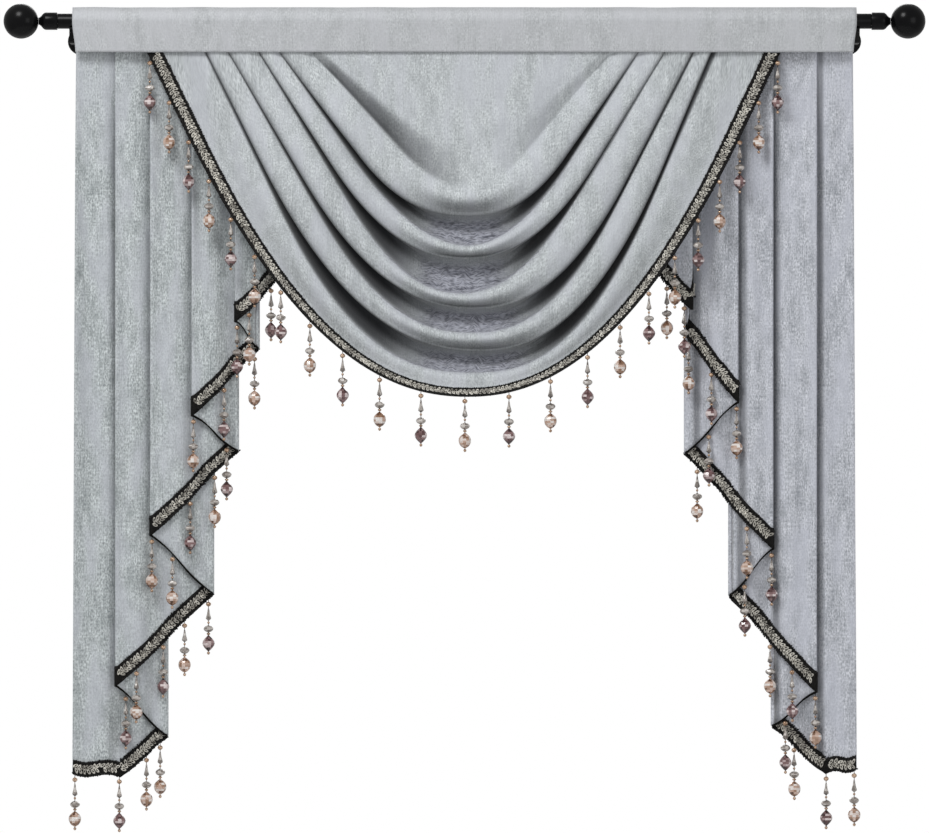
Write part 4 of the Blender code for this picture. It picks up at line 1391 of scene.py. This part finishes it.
def swag_braid_lines():
    """The lines of the swag's braid, cut off level just under the pocket."""
    lines = []
    stations = np.linspace(-1, 1, 2 * SWAG_COLUMNS)
    for line in (braid_top, swag_hem):
        points = [Vector((x, -forward, SEAM_Z - drop)) for x, drop, forward in map(line, stations)]
        for end, step in ((0, 1), (-1, -1)):
            inner = end + step
            while points[inner].z > SEAM_Z - BRAID_END_DROP:
                inner += step
            outer = inner - step
            share = (SEAM_Z - BRAID_END_DROP - points[inner].z) / (points[outer].z - points[inner].z)
            points[outer] = points[inner].lerp(points[outer], share)
            points = points[outer:] if step == 1 else points[: len(points) + outer + 1]
        lines.append(points)
    return lines


def even_lines(lines, count=420):
    """Reads two lines at the same shares of their length, so that they have as many points."""
    made = []
    for line in lines:
        line = np.array(line)
        places = np.insert(np.cumsum(np.linalg.norm(np.diff(line, axis=0), axis=1)), 0, 0.0)
        wanted = np.linspace(0, places[-1], count)
        made.append(np.stack([np.interp(wanted, places, line[:, i]) for i in range(3)], axis=1))
    return made


def make_braid(label, tape):
    band = sheet_piece(f"{label}_tape", tape.grid(), tape_material, TAPE_THICK)
    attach(band, "root")
    chain = [matrix for stitch in CHAIN for matrix in tape.stitches(stitch)]
    edges = [matrix for stitch in CORDED_EDGES for matrix in tape.stitches(stitch)]
    pieces = [band]
    pieces.append(copies(f"{label}_chain", *LOOP, chain, cream_thread, BRAID_SLOT))
    pieces.append(copies(f"{label}_corded_edges", *CORD, edges, black_thread, BRAID_SLOT))
    return pieces


swag_tape = Tape(*even_lines(swag_braid_lines()), -1)
left_tape = Tape(*left_lines, -1)
right_tape = Tape(*right_lines, 1)
swag_braid = make_braid("swag_braid", swag_tape)
left_braid = make_braid("left_braid", left_tape)
right_braid = make_braid("right_braid", right_tape)

# %% [markdown]
# ## Beads
# A string holds, from the top: a round bead, a slender teardrop, a tiny link, a saucer, a gold link, a
# large cut crystal and a small end bead. Crystals are amber or plum by turns. Each form is modelled once
# as a sphere with few faces, shaped ring by ring. Flat faces make it look cut. Each face gets its own
# shade, lighter in the middle of the crystal than at its ends, as if light broke in it.

# %% Bead materials
def make_bead_material(name, stops, roughness=0.12, clear=0.0, metallic=0.0):
    material, tree, shader = new_material(name)
    shade = put(tree, "Attribute", attribute_name="shade").outputs["Fac"]
    dress(tree, shader, Base_Color=ramp(tree, shade, *stops), Roughness=roughness, Metallic=metallic)
    dress(tree, shader, Transmission_Weight=clear, IOR=1.49, Coat_Weight=0.25, Coat_Roughness=0.05)
    return material


AMBER_STOPS = (
    (0.22, (0.10, 0.04, 0.02)),
    (0.42, (0.36, 0.20, 0.12)),
    (0.60, (0.72, 0.51, 0.41)),
    (0.80, (1.0, 0.95, 0.91)),
)
PLUM_STOPS = (
    (0.22, (0.02, 0.01, 0.01)),
    (0.44, (0.11, 0.05, 0.05)),
    (0.66, (0.33, 0.20, 0.20)),
    (0.84, (0.9, 0.79, 0.78)),
)
SMOKE_STOPS = ((0.1, (0.07, 0.06, 0.055)), (0.5, (0.34, 0.30, 0.27)), (0.9, (0.88, 0.83, 0.78)))
GOLD_STOPS = ((0.1, (0.14, 0.07, 0.04)), (0.5, (0.38, 0.23, 0.14)), (0.9, (0.80, 0.60, 0.44)))

amber = make_bead_material("amber crystal", AMBER_STOPS, clear=0.15)
plum = make_bead_material("plum crystal", PLUM_STOPS, clear=0.15)
smoke = make_bead_material("smoke bead", SMOKE_STOPS, clear=0.2)
gold = make_bead_material("brown gold bead", GOLD_STOPS, 0.2, 0.0, 0.4)

# %% Bead forms
Bead = namedtuple("Bead", "name centre radius half_height rings sides")
ROUND = (0.0, 0.62, 0.93, 1.0, 0.93, 0.62, 0.0)
CUT_ROUND = (0.0, 0.42, 0.78, 0.96, 1.0, 0.96, 0.82, 0.55, 0.0)
CUT_SPINDLE = (0.0, 0.34, 0.68, 0.92, 1.0, 0.92, 0.70, 0.38, 0.0)
TEARDROP = (0.0, 0.30, 0.40, 0.56, 0.82, 1.0, 0.0)
SAUCER = (0.0, 0.60, 0.90, 1.0, 0.90, 0.60, 0.0)
TEARDROP_BEADS = (Bead("teardrops", 18.6, 3.5, 9.0, TEARDROP, 10),)
SAUCER_BEADS = (Bead("saucers", 37.5, 6.4, 5.0, SAUCER, 9),)
GOLD_BEADS = (
    Bead("round_beads", 5.9, 3.4, 3.4, ROUND, 10),
    Bead("links", 29.6, 1.6, 1.9, ROUND, 8),
    Bead("caps", 43.9, 2.4, 1.9, ROUND, 8),
    Bead("ends", 68.4, 2.0, 2.3, ROUND, 8),
)
AMBER_CRYSTAL = (Bead("amber_crystals", 55.9, 8.0, 10.4, CUT_ROUND, 11),)
PLUM_CRYSTAL = (Bead("plum_crystals", 55.9, 8.0, 10.9, CUT_SPINDLE, 11),)
THREAD_RADIUS = 0.45
THREAD_END = 66.0


def model_bead(bead):
    """One bead at its place below the braid, as points and faces in millimetres."""
    bpy.ops.object.select_all(action="DESELECT")
    bpy.ops.mesh.primitive_uv_sphere_add(segments=bead.sides, ring_count=len(bead.rings) - 1, radius=1.0)
    form = named("bead")
    levels = [math.cos(math.pi * i / (len(bead.rings) - 1)) for i in range(len(bead.rings))]
    steps = len(bead.rings) - 1
    bpy.ops.object.mode_set(mode="EDIT")
    bpy.ops.mesh.select_mode(type="VERT")
    for level, radius, share in zip(levels[1:-1], bead.rings[1:-1], range(1, steps)):
        mesh = bmesh.from_edit_mesh(form.data)
        for vertex in mesh.verts:
            vertex.select_set(abs(vertex.co.z - level) < 1e-4)
        mesh.select_flush_mode()
        bmesh.update_edit_mesh(form.data)
        scale = radius / math.sqrt(1 - level * level)
        bpy.ops.transform.resize(value=(scale, scale, 1), center_override=(0, 0, level))
        bpy.ops.transform.translate(value=(0, 0, 1 - 2 * share / steps - level))
    bpy.ops.object.mode_set(mode="OBJECT")
    form.scale = (bead.radius, bead.radius, bead.half_height)
    form.location = (0, 0, -bead.centre)
    return taken(settle(form))


def model_thread():
    bpy.ops.object.select_all(action="DESELECT")
    length = THREAD_END + BRAID_LIP
    bpy.ops.mesh.primitive_cylinder_add(
        vertices=6, radius=THREAD_RADIUS, depth=length, location=(0, 0, BRAID_LIP - length / 2)
    )
    return taken(settle(named("thread")))


def model_beads(beads):
    """Several beads as one set of points and faces, with a glow for each face, 1 at a bead's middle."""
    points, faces, glow = [], [], []
    for bead in beads:
        own_points, own_faces = model_bead(bead)
        for face in own_faces:
            faces.append([v + len(points) for v in face])
            height = np.mean([own_points[v][2] for v in face]) + bead.centre
            glow.append(1 - abs(height) / bead.half_height)
        points += list(own_points)
    return np.array(points), faces, np.array(glow)


# %% [markdown]
# Where a string hangs over cloth, it leans a little forward so that its beads lie on the cloth and not
# in it. The lean is found by trying small angles against the cloths and tapes near it, and each string
# is also turned a little, so that no two catch the light alike.

# %% Hanging the strings
SWAG_DROPS = 23
SWAG_DROP_MARGIN = 8.0
CLEARANCE = 0.8
TILT_STEPS = 25
TILT_STEP_DEGREES = 0.5
FEELERS = (
    Ring(5.9, 3.4),
    Ring(22.0, 3.5),
    Ring(37.5, 6.5),
    Ring(50.0, 6.5),
    Ring(56.0, 8.0),
    Ring(62.0, 6.0),
    Ring(69.0, 2.0),
)


def grid_tree(grid):
    return BVHTree.FromPolygons(grid.reshape(-1, 3).tolist(), grid_quads(*grid.shape[:2]).tolist())


obstacles = [(grid_tree(grid), CLOTH / 2) for grid in (swag_grid, left_grid, right_grid)]
obstacles += [(grid_tree(tape.grid()), TAPE_THICK / 2) for tape in (left_tape, right_tape)]


def lean_of(root):
    """The angle that swings a string forward until its beads clear the cloth near it."""
    best = None
    for step in range(TILT_STEPS):
        angle = math.radians(step * TILT_STEP_DEGREES)
        room = math.inf
        for along, radius in FEELERS:
            centre = root + Vector((0, -along * math.sin(angle), -along * math.cos(angle)))
            for tree, half in obstacles:
                room = min(room, tree.find_nearest(centre)[3] - radius - half)
        if best is None or room > best[0]:
            best = (room, angle)
        if room >= CLEARANCE:
            break
    return best[1]


def string_frame(root, turn):
    matrix = Matrix.Rotation(-lean_of(root), 4, "X") @ Matrix.Rotation(turn, 4, "Z")
    matrix.translation = root
    return matrix


def tail_roots(table, columns, tape):
    """Where the strings hang from a tail's braid, and the colour of each."""
    roots = []
    for number, run in enumerate(table):
        for x, colour in run.beads:
            found = []
            for i in range(len(columns) - 1):
                if number not in (columns[i].run, columns[i + 1].run):
                    continue
                a, b = Vector(tape.lowers[i]), Vector(tape.lowers[i + 1])
                if abs(b.x - a.x) < 0.01:
                    continue
                place = a.lerp(b, min(1.0, max(0.0, (x - a.x) / (b.x - a.x))))
                found.append((abs(place.x - x), i, place))
            roots.append((min(found)[2], colour))
    return roots


def swag_roots(tape):
    """Strings at equal distances along the swag's hem, as seen from the front."""
    seen = tape.lowers[:, (0, 2)]
    arc = np.insert(np.cumsum(np.linalg.norm(np.diff(seen, axis=0), axis=1)), 0, 0.0)
    wanted = np.linspace(SWAG_DROP_MARGIN, arc[-1] - SWAG_DROP_MARGIN, SWAG_DROPS)
    roots = []
    for i, place in enumerate(np.interp(wanted, arc, tape.places)):
        roots.append((Vector(tape.read(tape.lowers, place)), "A" if i % 2 else "P"))
    return roots


# %% Strings of beads
def make_strings(label, roots):
    draw = random.Random(label)
    frames = [(string_frame(root, draw.uniform(0, math.pi)), colour) for root, colour in roots]
    everywhere = [matrix for matrix, _ in frames]
    amber_only = [matrix for matrix, colour in frames if colour == "A"]
    plum_only = [matrix for matrix, colour in frames if colour == "P"]
    pieces = [copies(f"{label}_threads", *model_thread(), everywhere, black_thread, BRAID_SLOT)]
    for name, beads, places, material, slot, smoothly in (
        ("teardrops", TEARDROP_BEADS, everywhere, smoke, "smoke_bead", True),
        ("saucers", SAUCER_BEADS, everywhere, smoke, "smoke_bead", False),
        ("gold_beads", GOLD_BEADS, everywhere, gold, "gold_bead", True),
        ("amber_crystals", AMBER_CRYSTAL, amber_only, amber, "amber_bead", False),
        ("plum_crystals", PLUM_CRYSTAL, plum_only, plum, "plum_bead", False),
    ):
        points, faces, glow = model_beads(beads)
        pieces.append(copies(f"{label}_{name}", points, faces, places, material, slot, smoothly, glow))
    return pieces


swag_strings = make_strings("swag", swag_roots(swag_tape))
left_strings = make_strings("left_tail", tail_roots(LEFT_TAIL, left_columns, left_tape))
right_strings = make_strings("right_tail", tail_roots(RIGHT_TAIL, right_columns, right_tape))

# %% [markdown]
# ## What each piece stands for
# Each cloth is attached to the root, and each finished piece takes the place of the plain solid that
# carries it, which is hidden.


def declare_cloth(piece, node):
    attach(piece, "root")
    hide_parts(node)


declare_cloth(pocket, "rod_pocket")
declare_cloth(swag, "swag")
declare_cloth(left_tail, "tail_left")
declare_cloth(right_tail, "tail_right")
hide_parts("swag_trim")
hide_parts("tail_left_trim")
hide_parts("tail_right_trim")


# %% Floor finish
def make_floor_material():
    material, tree, shader = new_material("pale floor")
    place = put(tree, "TexCoord").outputs["Object"]
    clouds = put(tree, "TexNoise", Vector=place, Scale=3.0, Detail=3.0).outputs[0]
    dress(tree, shader, Base_Color=ramp(tree, clouds, (0.3, 0.78), (0.7, 0.84)), Roughness=0.8)
    return material


floor.data.materials.append(make_floor_material())
